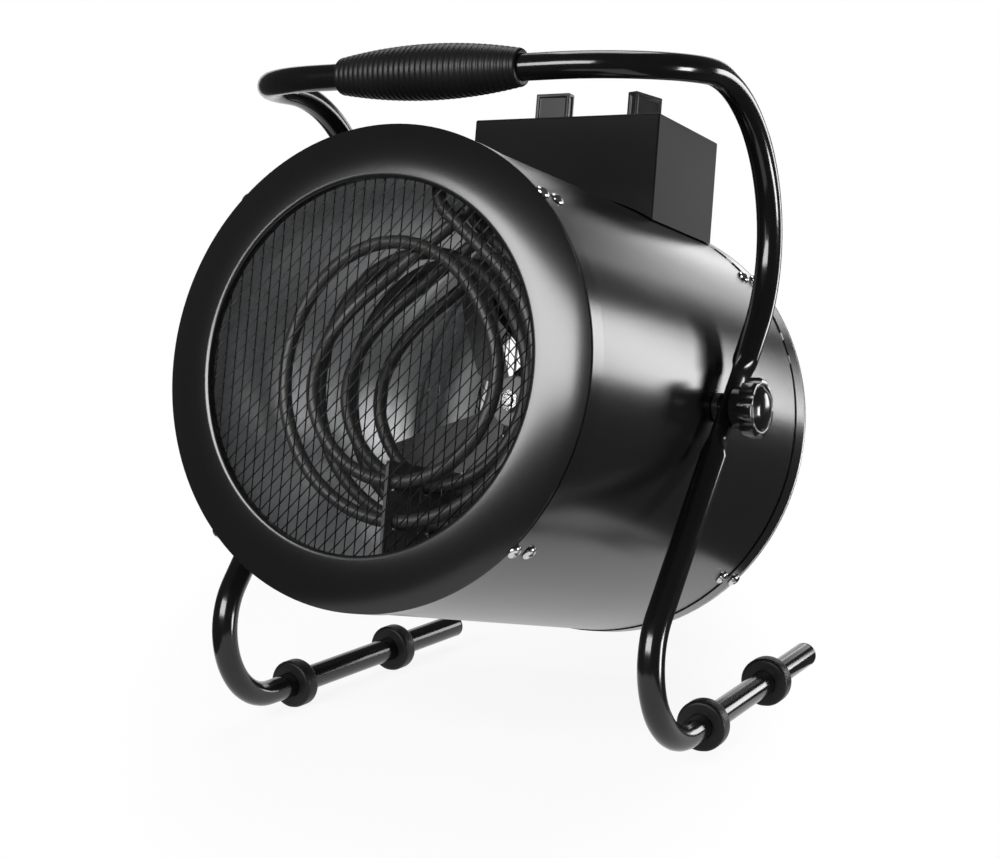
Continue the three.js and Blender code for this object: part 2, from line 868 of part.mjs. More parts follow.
// A plate that stands on the bottom of the inner drum, with a hole for each turn.
function elementSupport() {
  const front = Math.max(
    innerDrumStart + fitGap,
    elementPlaces[0] - innerTurnAhead - elementTube - supportMargin,
  );
  const back = elementPlaces[elementCount - 1] + elementTube + supportMargin + legSetback;
  const top = -innerTurn + elementTube + supportMargin;
  const bottom = -Math.sqrt(innerWall ** 2 - (supportWall / 2) ** 2) * Math.cos(Math.PI / drumSides);
  const outline = [
    [front, bottom + fitGap],
    [back, bottom + fitGap],
    [back, top],
    [front, top],
  ];
  const sag = outerTurn * (1 - Math.cos(Math.PI / stepsPerTurn)); // of a faceted turn
  const hole = polygon(boreOver(elementTube, 8) + sag, 8, Math.PI / 8);
  const bottoms = elementPlaces.flatMap((y) => [
    [y, outerTurn],
    [y - innerTurnAhead, innerTurn],
  ]);
  const holes = bottoms.map(([y, radius]) => hole.map(([a, b]) => [y + a, b - radius]));
  return extrude(outline, holes, supportWall)
    .translate(0, 0, -supportWall / 2)
    .rotateX(Math.PI / 2)
    .rotateZ(Math.PI / 2);
}

place(drum, "element_support", elementSupport(), galvanised());

// ---- Fan and motor --------------------------------------------------------------------

function fanImpeller() {
  const hub = rod(hubRadius, -hubLength / 2, hubLength / 2, 16);
  const blade = extrude(
    [
      [0.8 * hubRadius, 0],
      [0.99 * fanRadius, 0],
      [0.97 * fanRadius, 0.5 * bladeWidth],
      [0.88 * fanRadius, 0.85 * bladeWidth],
      [0.55 * fanRadius, 0.95 * bladeWidth],
      [0.33 * fanRadius, bladeWidth],
      [hubRadius, 0.8 * bladeWidth],
      [0.5 * hubRadius, 0.4 * bladeWidth],
    ],
    [],
    bladeWall,
  )
    .translate(0, -bladeWidth / 2, -bladeWall / 2)
    .rotateX(Math.PI / 2 - radians(bladePitch))
    .translate(0, 0, (bladeWidth / 2) * Math.cos(radians(bladePitch)));
  const blades = Array.from({ length: bladeCount }, (_, i) =>
    blade.clone().rotateY(radians(bladeFrom) + (i / bladeCount) * 2 * Math.PI),
  );
  const bore = rod(shaftRadius + fitGap, -hubLength, hubLength, 12);
  return cut(join(hub, ...blades), bore);
}

place(drum, "fan_impeller", fanImpeller().translate(0, fanCentre, 0), fanAluminium());

const hubFront = fanCentre - hubLength / 2;
const shaftFront = hubFront - shaftBeyondHub;
const shaftBack = motorFront + shaftInMotor;
place(drum, "fan_shaft", rod(shaftRadius, shaftFront, shaftBack, 10), zincPlate());

const fanNut = cut(
  rod(fanNutRadius, hubFront - fitGap - fanNutLength, hubFront - fitGap, 6),
  rod(shaftRadius + fitGap, 0, drumLength, 12),
);
place(drum, "fan_nut", fanNut, zincPlate());

function motorBody() {
  const can = revolve(
    [
      [0, motorFront - motorBossLength],
      [motorBossRadius, motorFront - motorBossLength],
      [motorBossRadius, motorFront],
      [0.9 * motorRadius, motorFront],
      [motorRadius, motorFront + 0.1 * motorRadius],
      [motorRadius, motorBack - 0.1 * motorRadius],
      [0.9 * motorRadius, motorBack],
      [0, motorBack],
    ],
    20,
  );
  const bore = rod(
    shaftRadius + fitGap,
    motorFront - 2 * motorBossLength,
    shaftBack + fitGap,
    12,
  );
  return cut(can, bore);
}

place(drum, "motor_body", motorBody(), motorGrey());

// Four flat arms from the back of the motor to the rear hoop.
function motorMount() {
  const front = motorBack + fitGap;
  const hoopBore = casingRadius - sheet - 2 * fitGap - hoopWall;
  const reach = Math.sqrt(
    (hoopBore * Math.cos(Math.PI / drumSides)) ** 2 - (mountArmWidth / 2) ** 2,
  );
  const plate = rod(mountPlateRadius, front, front + mountWall, 20);
  const arms = screwAngles.map((angle) =>
    block(mountArmWidth, mountWall, reach, 0, front + mountWall / 2, reach / 2).rotateY(angle),
  );
  return join(plate, ...arms);
}

place(drum, "motor_mount", motorMount(), satinBlack());

// ---- Control box ----------------------------------------------------------------------

const boxMiddle = boxFront + boxLength / 2;
const knobLine = boxFront + knobBack;
const panelTop = boxTop - boxWall;
const upright = (geometry) => geometry.rotateX(Math.PI / 2);

function controlBox() {
  const outer = block(boxWidth, boxLength, boxTop, 0, boxMiddle, boxTop / 2);
  const inner = block(
    boxWidth - 2 * boxWall,
    boxLength - 2 * boxWall,
    boxTop,
    0,
    boxMiddle,
    boxTop / 2 - boxWall,
  );
  const saddle = rod(ringRadius + fitGap, boxFront - 10, boxFront + boxLength + 10, 80);
  const below = block(2 * boxWidth, 2 * boxLength, boxTop, 0, boxMiddle, 0);
  const bushHoles = [-1, 1].map((side) =>
    upright(rod(bushRadius + fitGap, panelTop - 5, boxTop + 5, 12)).translate(
      side * knobAcross,
      knobLine,
      0,
    ),
  );
  const glandHole = rod(
    glandRadius - 3 + fitGap,
    boxFront + boxLength - 5,
    boxFront + boxLength + 5,
    12,
  ).translate(0, 0, glandHeight);
  return cut(outer, inner, saddle, below, ...bushHoles, glandHole);
}

place(drum, "control_box", controlBox(), boxBlack());

// A control body hangs under the top panel, its bush comes up through the panel.
function controlBody(spindleDepth) {
  const top = panelTop - fitGap;
  const body = block(
    controlWidth,
    controlDepth,
    controlHeight,
    0,
    0,
    top - controlHeight / 2,
  );
  const bush = upright(rod(bushRadius, top - 2, boxTop + 3, 12));
  const bore = upright(rod(spindleRadius + fitGap, top - spindleDepth, boxTop + 10, 12));
  return cut(join(body, bush), bore);
}

const spindleBelow = 10;

function placeControl(side, bodyName, spindleName, knobName, height, turn) {
  const x = side * knobAcross;
  const body = place(drum, bodyName, controlBody(spindleBelow), paleNylon());
  body.position.set(x, knobLine, 0);
  const knobBase = boxTop + 2 * fitGap;
  const spindleTop = knobBase + spindleInKnob;
  const spindle = place(
    drum,
    spindleName,
    upright(rod(spindleRadius, panelTop - spindleBelow, spindleTop, 10)),
    zincPlate(),
  );
  spindle.position.set(x, knobLine, 0);
  const knob = place(drum, knobName, pointerKnob(height, spindleTop - knobBase), plasticBlack());
  knob.position.set(x, knobLine, knobBase);
  knob.rotation.z = radians(turn);
}

// A round disc with a tapered bar across it, hollow underneath for the bush and spindle.
function pointerKnob(height, spindleDepth) {
  const disc = upright(
    revolve(
      [
        [0, 0],
        [knobDisc, 0],
        [knobDisc, knobDiscHeight - edgeRound],
        [knobDisc - edgeRound, knobDiscHeight],
        [0, knobDiscHeight],
      ],
      24,
    ),
  );
  const half = knobBarLength / 2;
  const bar = extrude(
    [
      [-half, 0.1 * height],
      [half, 0.1 * height],
      [half - edgeRound / 2, height - edgeRound],
      [half - 1.5 * edgeRound, height],
      [-half + 1.5 * edgeRound, height],
      [-half + edgeRound / 2, height - edgeRound],
    ],
    [],
    knobBarWidth,
  )
    .translate(0, 0, -knobBarWidth / 2)
    .rotateX(Math.PI / 2);
  const bushRoom = upright(rod(bushRadius + 2 * fitGap, -5, 3.5, 12));
  const bore = upright(rod(spindleRadius + fitGap, -5, spindleDepth + fitGap, 12));
  return cut(join(disc, bar), bushRoom, bore);
}

const thermostat = ["thermostat_body", "thermostat_spindle", "thermostat_knob"];
const selector = ["selector_body", "selector_spindle", "selector_knob"];
placeControl(-1, ...thermostat, thermostatKnobHeight, thermostatTurn);
placeControl(1, ...selector, selectorKnobHeight, selectorTurn);

place(
  drum,
  "terminal_block",
  block(
    blockLength,
    blockWidth,
    blockHeight,
    0,
    boxFront + boxWall + blockWidth,
    casingRadius + fitGap + blockHeight / 2,
  ),
  paleNylon(),
);

place(
  drum,
  "thermal_cutout",
  upright(
    revolve(
      [
        [0, 0],
        [cutoutRadius, 0],
        [cutoutRadius, cutoutHeight / 3],
        [cutoutRadius - 2, cutoutHeight / 3],
        [cutoutRadius - 2, cutoutHeight],
        [0, cutoutHeight],
      ],
      14,
    ),
  ).translate(0, innerDrumStart + innerDrumLength - 2 * cutoutRadius, innerDrumRadius + fitGap),
  plasticBlack(),
);

// The gland's flange lies on the back of the box, its neck goes through the wall.
function cableGland() {
  const wall = boxFront + boxLength;
  const neck = glandRadius - 3;
  const shape = revolve(
    [
      [glandBore, wall - boxWall - 6],
      [neck, wall - boxWall - 6],
      [neck, wall + fitGap],
      [glandRadius, wall + fitGap],
      [glandRadius, wall + 6],
      [neck, wall + glandOutside - 3],
      [neck - 1.5, wall + glandOutside],
      [glandBore, wall + glandOutside],
    ],
    12,
  );
  return shape.translate(0, 0, glandHeight);
}

place(drum, "cable_gland", cableGland(), plasticBlack());

// ---- Tilt pivots and clamp knobs ------------------------------------------------------

// Everything below is drawn along +X from the drum's middle and turned for the left side.
const flatOuter = standHalfWidth + flatHalfWall;
const flatInner = standHalfWidth - flatHalfWall;
const knobSeat = flatOuter + fitGap;
const alongX = (geometry) => geometry.rotateZ(-Math.PI / 2);

function clampKnob() {
  const points = 4 * clampLobes;
  const outline = Array.from({ length: points }, (_, i) => {
    const angle = (i / points) * 2 * Math.PI;
    const radius = clampRadius - clampLobeDepth * (1 - Math.cos(clampLobes * angle)) * 0.5;
    return [radius * Math.cos(angle), radius * Math.sin(angle)];
  });
  const lobes = new THREE.ExtrudeGeometry(
    new THREE.Shape(outline.map(([a, b]) => new THREE.Vector2(a, b))),
    {
      depth: clampLength - 2 * edgeRound,
      bevelThickness: edgeRound,
      bevelSize: edgeRound,
      bevelOffset: -edgeRound,
      bevelSegments: 1,
    },
  )
    .rotateY(Math.PI / 2)
    .translate(knobSeat + clampNeckLength + edgeRound, 0, 0);
  const neck = alongX(
    rod(clampNeck, knobSeat, knobSeat + clampNeckLength + 2 * edgeRound, 16),
  );
  const face = knobSeat + clampNeckLength + clampLength;
  const dome = alongX(
    revolve(
      [
        [0, face - edgeRound],
        [clampNeck + edgeRound, face - edgeRound],
        [clampNeck + edgeRound, face],
        [0.6 * clampNeck, face + 0.75 * clampDome],
        [0, face + clampDome],
      ],
      16,
    ),
  );
  const socket = alongX(
    rod(studRadius + fitGap, knobSeat - 5, knobSeat + studInKnob + fitGap, 12),
  );
  return cut(join(lobes, neck, dome), socket);
}

function pivotSpacer() {
  const from = casingRadius + fitGap;
  const ring = rod(spacerRadius, from, flatInner - fitGap, 12);
  return alongX(cut(ring, rod(studRadius + fitGap, 0, 2 * ringRadius, 12)));
}

function pivotNut() {
  const face = casingRadius - sheet - nutRadius * Math.tan(Math.PI / drumSides) - fitGap;
  const nut = rod(nutRadius, face - nutLength, face, 6);
  return alongX(cut(nut, rod(studRadius + fitGap, 0, 2 * ringRadius, 12)));
}

for (const [turn, word] of [[Math.PI, "left"], [0, "right"]]) {
  const side = new THREE.Group();
  side.position.y = pivotFromFront;
  side.rotation.z = turn;
  drum.add(side);
  const stud = alongX(rod(studRadius, casingRadius - studInDrum, knobSeat + studInKnob, 10));
  place(side, `clamp_knob_${word}`, clampKnob(), glossBlack());
  place(side, `clamp_stud_${word}`, stud, zincPlate());
  place(side, `pivot_spacer_${word}`, pivotSpacer(), plasticBlack());
  place(side, `pivot_nut_${word}`, pivotNut(), zincPlate());
}

// ---- Origin ---------------------------------------------------------------------------

// The middle of the heater's box comes over the origin.
heater.updateMatrixWorld(true);
const extent = new THREE.Box3().setFromObject(heater, true);
const middle = extent.getCenter(new THREE.Vector3());
heater.position.set(-middle.x, -middle.y, 0);

export default heater;
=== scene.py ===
# %% [markdown]
# # A drum fan heater
# The frame is the imported CAD model: every solid is in its place, and model.json says
# which body of the real heater each belongs to and where the drum turns. This lesson dresses
# it. Smooth round pieces are turned or drawn anew, because the solids are faceted, and every
# piece gets a procedural finish.

import json
import math

import bpy
from mathutils import Matrix, Vector


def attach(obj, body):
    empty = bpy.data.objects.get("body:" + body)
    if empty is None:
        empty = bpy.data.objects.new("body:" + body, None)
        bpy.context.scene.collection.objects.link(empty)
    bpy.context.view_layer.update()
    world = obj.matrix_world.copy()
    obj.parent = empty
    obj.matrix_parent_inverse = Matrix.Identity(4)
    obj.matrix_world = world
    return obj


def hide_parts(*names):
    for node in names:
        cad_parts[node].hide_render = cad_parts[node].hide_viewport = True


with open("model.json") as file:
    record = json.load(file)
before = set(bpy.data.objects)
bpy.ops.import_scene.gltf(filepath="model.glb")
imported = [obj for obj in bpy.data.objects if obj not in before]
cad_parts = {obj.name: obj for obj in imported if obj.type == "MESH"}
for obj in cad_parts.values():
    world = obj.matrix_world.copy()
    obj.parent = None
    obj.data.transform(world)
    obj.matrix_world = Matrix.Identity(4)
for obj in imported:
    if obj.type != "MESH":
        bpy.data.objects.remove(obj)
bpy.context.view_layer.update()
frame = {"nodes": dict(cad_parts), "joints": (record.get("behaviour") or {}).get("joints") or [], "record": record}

# %% [markdown]
# Blender works in metres, but a workshop drawing is in millimetres, so lengths are written
# in millimetres and turned into metres where they are used. The drum hangs tilted in its
# stand: its pieces are made level, with Y along the drum from the fold of the front ring,
# and then moved to where the tilt joint says that the drum hangs.

# %% Places
MM = 0.001
TILT = math.radians(14)
PIVOT_FROM_FRONT = 174
pivot = next(Vector(j["pos_m"]) for j in frame["joints"] if j["name"] == "drum_tilt")
in_drum = (
    Matrix.Translation(pivot)
    @ Matrix.Rotation(-TILT, 4, "X")
    @ Matrix.Translation((0, -PIVOT_FROM_FRONT * MM, 0))
)
body_of = {
    node: body
    for body, nodes in frame["record"]["behaviour"]["bodies"].items()
    for node in nodes
}
slot_of = {row["node"]: row["material_slot"] for row in frame["record"]["subparts"]}


def at(x, y, z):
    """A shift given in millimetres."""
    return Matrix.Translation((x * MM, y * MM, z * MM))


def turn(degrees, axis):
    """A turn about X, Y or Z."""
    return Matrix.Rotation(math.radians(degrees), 4, axis)


print("the drum turns about", tuple(round(v, 4) for v in pivot))

# %% [markdown]
# The photograph was taken with a long lens from the right of the heater and a little above
# it, and the camera was tipped slightly. The distance matters as much as the angle, because
# it decides how much smaller the far side looks.

# %% Camera
CAMERA_FROM_PIVOT = (736.5, -1302.2, 182.7)
CAMERA_LOOKS = (-0.4936, 0.8595, -0.1327)
CAMERA_ROLL = -2.38
CAMERA_LENS, CAMERA_SENSOR = 83.2, 36


def make_camera():
    """The camera at the photograph's place."""
    data = bpy.data.cameras.new("camera")
    data.lens = CAMERA_LENS
    data.sensor_width = CAMERA_SENSOR
    camera = bpy.data.objects.new("camera", data)
    bpy.context.scene.collection.objects.link(camera)
    aim = Vector(CAMERA_LOOKS).to_track_quat("-Z", "Y").to_matrix().to_4x4()
    place = Matrix.Translation(pivot) @ at(*CAMERA_FROM_PIVOT)
    camera.matrix_world = place @ aim @ turn(CAMERA_ROLL, "Z")
    bpy.context.scene.camera = camera
    return camera


camera = make_camera()
print("camera at", tuple(round(v, 3) for v in camera.location))

# %% [markdown]
# Two effects are used by many finishes, so each is a node group, built once. The first gives
# a paint, plastic or rubber its fine grain: the colour and gloss drift slowly over the
# surface, and a small bump breaks up the reflections. The second draws the scratches that
# rolling or turning leaves in bare metal, as noise stretched along one direction.


# %% Shared effects
NOISE_LOW, NOISE_HIGH = 0.3, 0.7
DRIFT_DETAIL, GRAIN_DETAIL = 3.0, 5.0


def feed(links, value, entry):
    """Gives a socket a number, or links another socket to it."""
    if isinstance(value, (int, float)):
        entry.default_value = value
    else:
        links.new(value, entry)


def maths(nodes, links, operation, first, second):
    """One sum of two sockets or numbers."""
    made = nodes.new("ShaderNodeMath")
    made.operation = operation
    feed(links, first, made.inputs[0])
    feed(links, second, made.inputs[1])
    return made.outputs[0]


def noise(nodes, links, vector, scale, detail):
    """A noise texture, fed with a vector and a scale."""
    made = nodes.new("ShaderNodeTexNoise")
    made.inputs["Detail"].default_value = detail
    links.new(scale, made.inputs["Scale"])
    links.new(vector, made.inputs["Vector"])
    return made.outputs["Fac"]


def spread(nodes, links, value, low, high):
    """Stretches a noise value, which keeps near its middle, from one end to another."""
    made = nodes.new("ShaderNodeMapRange")
    made.inputs["From Min"].default_value = NOISE_LOW
    made.inputs["From Max"].default_value = NOISE_HIGH
    links.new(value, made.inputs["Value"])
    feed(links, low, made.inputs["To Min"])
    feed(links, high, made.inputs["To Max"])
    return made.outputs["Result"]


def blend_colours(nodes, links, factor, dark, light):
    """Mixes two colour sockets."""
    made = nodes.new("ShaderNodeMix")
    made.data_type = "RGBA"
    links.new(factor, made.inputs["Factor"])
    links.new(dark, made.inputs["A"])
    links.new(light, made.inputs["B"])
    return made.outputs["Result"]


def add_sockets(group, way, kind, names):
    """Adds named sockets of one kind to a node group."""
    for name in names:
        group.interface.new_socket(name=name, in_out=way, socket_type=f"NodeSocket{kind}")


def effect_group(name, stretched):
    """Slow drift of colour and gloss with a fine grain, stretched or even."""
    group = bpy.data.node_groups.new(name, "ShaderNodeTree")
    add_sockets(group, "INPUT", "Color", ("Dark", "Light"))
    add_sockets(group, "INPUT", "Float", ("Smooth", "Rough", "Drift", "Grain"))
    if stretched:
        add_sockets(group, "INPUT", "Vector", ("Stretch",))
    add_sockets(group, "OUTPUT", "Color", ("Colour",))
    add_sockets(group, "OUTPUT", "Float", ("Roughness", "Height"))
    nodes, links = group.nodes, group.links
    place = nodes.new("ShaderNodeTexCoord").outputs["Object"]
    given = nodes.new("NodeGroupInput")
    drift = noise(nodes, links, place, given.outputs["Drift"], DRIFT_DETAIL)
    if stretched:
        pull = nodes.new("ShaderNodeVectorMath")
        pull.operation = "MULTIPLY"
        links.new(place, pull.inputs[0])
        links.new(given.outputs["Stretch"], pull.inputs[1])
        place = pull.outputs["Vector"]
    grain = noise(nodes, links, place, given.outputs["Grain"], GRAIN_DETAIL)
    both = maths(nodes, links, "ADD", drift, grain)
    half = maths(nodes, links, "MULTIPLY", both, 0.5)
    mask = spread(nodes, links, half, 0.0, 1.0)
    shade = blend_colours(nodes, links, mask, given.outputs["Dark"], given.outputs["Light"])
    gloss = spread(nodes, links, half, given.outputs["Smooth"], given.outputs["Rough"])
    out = nodes.new("NodeGroupOutput")
    links.new(shade, out.inputs["Colour"])
    links.new(gloss, out.inputs["Roughness"])
    links.new(grain, out.inputs["Height"])
    return group


grain_effect = effect_group("fine_grain", stretched=False)
scratch_effect = effect_group("drawn_scratches", stretched=True)
print("shared effects:", grain_effect.name, scratch_effect.name)

# %% [markdown]
# A finish joins one of the effects to a Principled shader. What is the same all over, such
# as how metallic it is, is set on the shader itself. The colours are those of the real
# heater: nearly black paint, rubber and plastic, bright zinc screws, a galvanised inner
# drum and heating tubes that the heat has darkened. The fan is dressed darker than bare
# aluminium, because the photograph shows it dark, in the shade of the drum.


# %% Finishes
BUMP_DEPTH = 0.2
finishes = {}


def grey(value, warm=0.0):
    """A grey, a little warmer or cooler."""
    return (value * (1 + warm), value, value * (1 - warm), 1)


def finish(name, dark, light, gloss, drift, grain, bump, metallic=0.0, stretch=None, ior=1.5):
    """A material from one of the two effects, kept by its name.

    gloss is (smoothest, roughest), drift and grain are the scales of the slow and of the
    fine noise, and bump is how much of the fine noise shows as relief.
    """
    material = bpy.data.materials.new(name)
    material.use_nodes = True
    nodes, links = material.node_tree.nodes, material.node_tree.links
    effect = nodes.new("ShaderNodeGroup")
    effect.node_tree = scratch_effect if stretch else grain_effect
    values = {"Dark": dark, "Light": light, "Smooth": gloss[0], "Rough": gloss[1]}
    values |= {"Drift": drift, "Grain": grain}
    if stretch:
        values["Stretch"] = stretch
    for entry, value in values.items():
        effect.inputs[entry].default_value = value
    relief = nodes.new("ShaderNodeBump")
    relief.inputs["Strength"].default_value = bump
    relief.inputs["Distance"].default_value = BUMP_DEPTH * MM
    shader = nodes["Principled BSDF"]
    shader.inputs["Metallic"].default_value = metallic
    shader.inputs["IOR"].default_value = ior
    links.new(effect.outputs["Colour"], shader.inputs["Base Color"])
    links.new(effect.outputs["Roughness"], shader.inputs["Roughness"])
    links.new(effect.outputs["Height"], relief.inputs["Height"])
    links.new(relief.outputs["Normal"], shader.inputs["Normal"])
    finishes[name] = material


finish("stand_paint", grey(0.003), grey(0.005), (0.12, 0.17), 9, 700, 0.04, ior=1.46)
finish("drum_paint", grey(0.004), grey(0.006), (0.2, 0.24), 7, 1400, 0.04)
finish("casing_paint", grey(0.004), grey(0.006), (0.22, 0.27), 7, 1400, 0.02)
finish("guard_paint", grey(0.004), grey(0.008), (0.18, 0.26), 30, 1400, 0.05, ior=1.6)
finish("box_paint", grey(0.004), grey(0.007), (0.42, 0.48), 10, 1600, 0.08, ior=1.17)
finish("rubber", grey(0.004), grey(0.008), (0.36, 0.46), 25, 1300, 0.1, ior=1.3)
finish("black_plastic", grey(0.005), grey(0.009), (0.25, 0.33), 20, 1800, 0.06, ior=1.48)
finish("knob_plastic", grey(0.004), grey(0.007), (0.12, 0.18), 25, 2200, 0.03)
finish("dial_plastic", grey(0.008), grey(0.012), (0.3, 0.36), 25, 1800, 0.1, ior=1.4)
finish("bracket_steel", grey(0.05), grey(0.09), (0.7, 0.85), 40, 900, 0.1, ior=1.2)
finish("motor_paint", grey(0.02), grey(0.035), (0.35, 0.45), 14, 900, 0.08)
finish("nylon", grey(0.5, 0.03), grey(0.62, 0.03), (0.4, 0.5), 20, 1200, 0.05)
print(len(finishes), "paints, plastics and rubber")

# %% Metal finishes
ROLLED = (1, 1, 6)
CUT_FROM_SHEET = (1, 1, 8)
finish("zinc", grey(0.5), grey(0.72), (0.12, 0.2), 60, 900, 0.04, 1.0)
cool_steel = (grey(0.5, -0.02), grey(0.68, -0.02))
finish("galvanised", *cool_steel, (0.32, 0.46), 35, 300, 0.1, 0.55, ROLLED)
pale_steel = (grey(0.7, -0.01), grey(0.82, -0.01))
finish("bare_steel", *pale_steel, (0.3, 0.4), 30, 300, 0.04, 0.25, ROLLED)
burnt_steel = (grey(0.02, 0.04), grey(0.045, 0.02))
finish("element_steel", *burnt_steel, (0.4, 0.5), 18, 900, 0.08, 0.4)
shaded_blade = (grey(0.1), grey(0.16))
finish("fan_aluminium", *shaded_blade, (0.5, 0.6), 14, 500, 0.05, 0.3, CUT_FROM_SHEET)
print(len(finishes), "finishes in all")

# %% [markdown]
# Every solid that stays in view gets the finish of its slot, apart from the two brackets
# that hold the heating elements. They get the darker bracket steel, partly for the heat's
# darkening and partly as painted shade for the drum's shade on them. The pieces made below
# take the place of most of the solids.

# %% Dress the solids
# The two element brackets: darker steel, partly heat-darkened and partly painted shade.
HEAT_AND_SHADE_DARKENED = ("element_plate", "element_support")
for node, solid in frame["nodes"].items():
    solid.data.materials.clear()
    paint = "bracket_steel" if node in HEAT_AND_SHADE_DARKENED else slot_of[node]
    solid.data.materials.append(finishes[paint])
print("dressed", len(frame["nodes"]), "solids")

# %% [markdown]
# Most of a drum heater is round, and a round piece is made as on a lathe: half of its
# outline is drawn point by point, by extruding one vertex, and then spun round the axis.
# The helpers here draw and spin an outline, put a finished piece in its place, and hand it
# to the frame, so that it moves with the right body and its faceted solid is hidden.


# %% Helpers for turning
WELD = 0.002


def select_nothing():
    """Leaves edit mode and clears the selection."""
    if bpy.context.object and bpy.context.object.mode == "EDIT":
        bpy.ops.object.mode_set(mode="OBJECT")
    bpy.ops.object.select_all(action="DESELECT")


def pick(piece):
    """Makes one piece the only one selected."""
    select_nothing()
    piece.select_set(True)
    bpy.context.view_layer.objects.active = piece


def close_up():
    """Merges doubled vertices, turns the faces outwards and leaves edit mode."""
    bpy.ops.mesh.select_all(action="SELECT")
    bpy.ops.mesh.remove_doubles(threshold=WELD * MM)
    bpy.ops.mesh.normals_make_consistent(inside=False)
    bpy.ops.object.mode_set(mode="OBJECT")


def draw_line(name, points):
    """An open line of vertices through points in millimetres."""
    select_nothing()
    bpy.ops.mesh.primitive_plane_add(size=MM)
    piece = bpy.context.object
    piece.name = name
    bpy.ops.object.mode_set(mode="EDIT")
    bpy.ops.mesh.select_mode(type="VERT")
    bpy.ops.mesh.select_all(action="SELECT")
    bpy.ops.mesh.merge(type="CENTER")
    bpy.ops.transform.translate(value=[v * MM for v in points[0]])
    for before, after in zip(points, points[1:]):
        step = [(b - a) * MM for a, b in zip(before, after)]
        bpy.ops.mesh.extrude_region_move(TRANSFORM_OT_translate={"value": step})
    return piece


def turned(name, outline, steps=96):
    """Spins an outline of (radius, along) pairs, in millimetres, about the Y axis."""
    piece = draw_line(name, [(radius, along, 0) for radius, along in outline])
    bpy.ops.mesh.select_all(action="SELECT")
    bpy.ops.mesh.spin(steps=steps, angle=2 * math.pi, center=(0, 0, 0), axis=(0, 1, 0))
    close_up()
    return piece


def settle(piece, place, angle=35):
    """Puts a piece in its place, in its mesh, and shades its smooth parts."""
    piece.matrix_world = place
    pick(piece)
    bpy.ops.object.transform_apply(location=True, rotation=True, scale=True)
    bpy.ops.object.shade_smooth_by_angle(angle=math.radians(angle))
    return piece


def hand_over(piece, node, paint=None):
    """The piece stands for a CAD node: same body, the finish of its slot or the one given, and the node hidden."""
    piece.name = f"{node}_dressed"
    piece.data.name = piece.name
    piece.data.materials.clear()
    piece.data.materials.append(finishes[paint or slot_of[node]])
    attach(piece, body_of[node])
    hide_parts(node)


def apply_modifiers(piece):
    """Applies every modifier, in order."""
    pick(piece)
    for modifier in list(piece.modifiers):
        bpy.ops.object.modifier_apply(modifier=modifier.name)


def soften(piece, width, segments=3, angle=30):
    """Rounds a piece's sharp edges by a width in millimetres."""
    bevel = piece.modifiers.new("soften", "BEVEL")
    bevel.width = width * MM
    bevel.segments = segments
    bevel.limit_method = "ANGLE"
    bevel.angle_limit = math.radians(angle)
    apply_modifiers(piece)


def boolean(piece, tool, way="DIFFERENCE"):
    """Cuts away or joins a tool, which is then removed."""
    step = piece.modifiers.new("boolean", "BOOLEAN")
    step.operation = way
    step.solver = "EXACT"
    step.object = tool
    apply_modifiers(piece)
    bpy.data.objects.remove(tool)


def copy_of(piece, name):
    """A copy with its own mesh."""
    made = piece.copy()
    made.data = piece.data.copy()
    made.name = name
    bpy.context.scene.collection.objects.link(made)
    return made


def arc(centre, radius, start, end, steps):
    """Points on an arc in a plane, angles in degrees."""
    angles = [math.radians(start + (end - start) * i / steps) for i in range(steps + 1)]
    x, y = centre
    return [(x + radius * math.cos(a), y + radius * math.sin(a)) for a in angles]


# %% [markdown]
# The two end rings are pressed from sheet steel. Each has a short skirt that the casing
# meets, a groove behind the fold, a face that swells forward nearly as far as the opening,
# and a narrow rolled lip there. The outline goes round the outside and back along the
# inside, one sheet lower, so the spun ring has a real wall. The rear ring is the same piece
# turned round.

# %% End rings
RING = 145
CASING = 144.2
DRUM = 319.6
SKIRT = 16
OPENING = 111.4
SHEET = 1
AIR = 0.3
BULGE, RING_CREST, FACE_CURVE = 8.2, 113.4, 1.95
FACE_POINTS, FACE_CROWDING = 30, 1.4
GROOVE, FOLD_ROUND = 0.8, 0.1
LIP_DEPTH, LIP_ROUND, LIP_DROP = 6, 1.3, 0.3
INSIDE_BEND = 8
DRUM_STEPS = 160


def ring_face(radius):
    """How far back the ring's face is at a radius; forward is less than 0."""
    if radius > RING_CREST:
        share = (radius - RING_CREST) / (RING - RING_CREST)
        return -BULGE * (1 - share**FACE_CURVE)
    share = (RING_CREST - radius) / (RING_CREST - OPENING)
    return -BULGE + LIP_DROP * share**3


def ring_outline():
    """The closed outline of an end ring, with more points near its fold."""
    width = RING - OPENING
    shares = [(i / FACE_POINTS) ** FACE_CROWDING for i in range(FACE_POINTS)]
    face = [(r, min(ring_face(r), 0)) for r in [RING - width * share for share in shares]]
    lip_centre = (OPENING + LIP_ROUND, ring_face(OPENING) + LIP_ROUND)
    lip = arc(lip_centre, LIP_ROUND, 250, 180, 4)
    sunk = RING - GROOVE
    groove = [(RING, 2.8), (sunk, 2.4), (sunk, 1.2), (RING - FOLD_ROUND, 0.7)]
    outside = [(RING, SKIRT), *groove, *face, *lip, (OPENING, LIP_DEPTH - BULGE)]
    inside = [
        (OPENING + SHEET, LIP_DEPTH - BULGE),
        (OPENING + SHEET, -BULGE + 2.4 * SHEET),
        (OPENING + 2 * SHEET, -BULGE + 1.5 * SHEET),
        (OPENING + INSIDE_BEND, ring_face(OPENING + INSIDE_BEND) + SHEET),
        (RING - INSIDE_BEND, ring_face(RING - INSIDE_BEND) + SHEET),
        (RING - SHEET, SHEET + 2),
        (RING - SHEET, SKIRT),
    ]
    return [*outside, *inside, outside[0]]


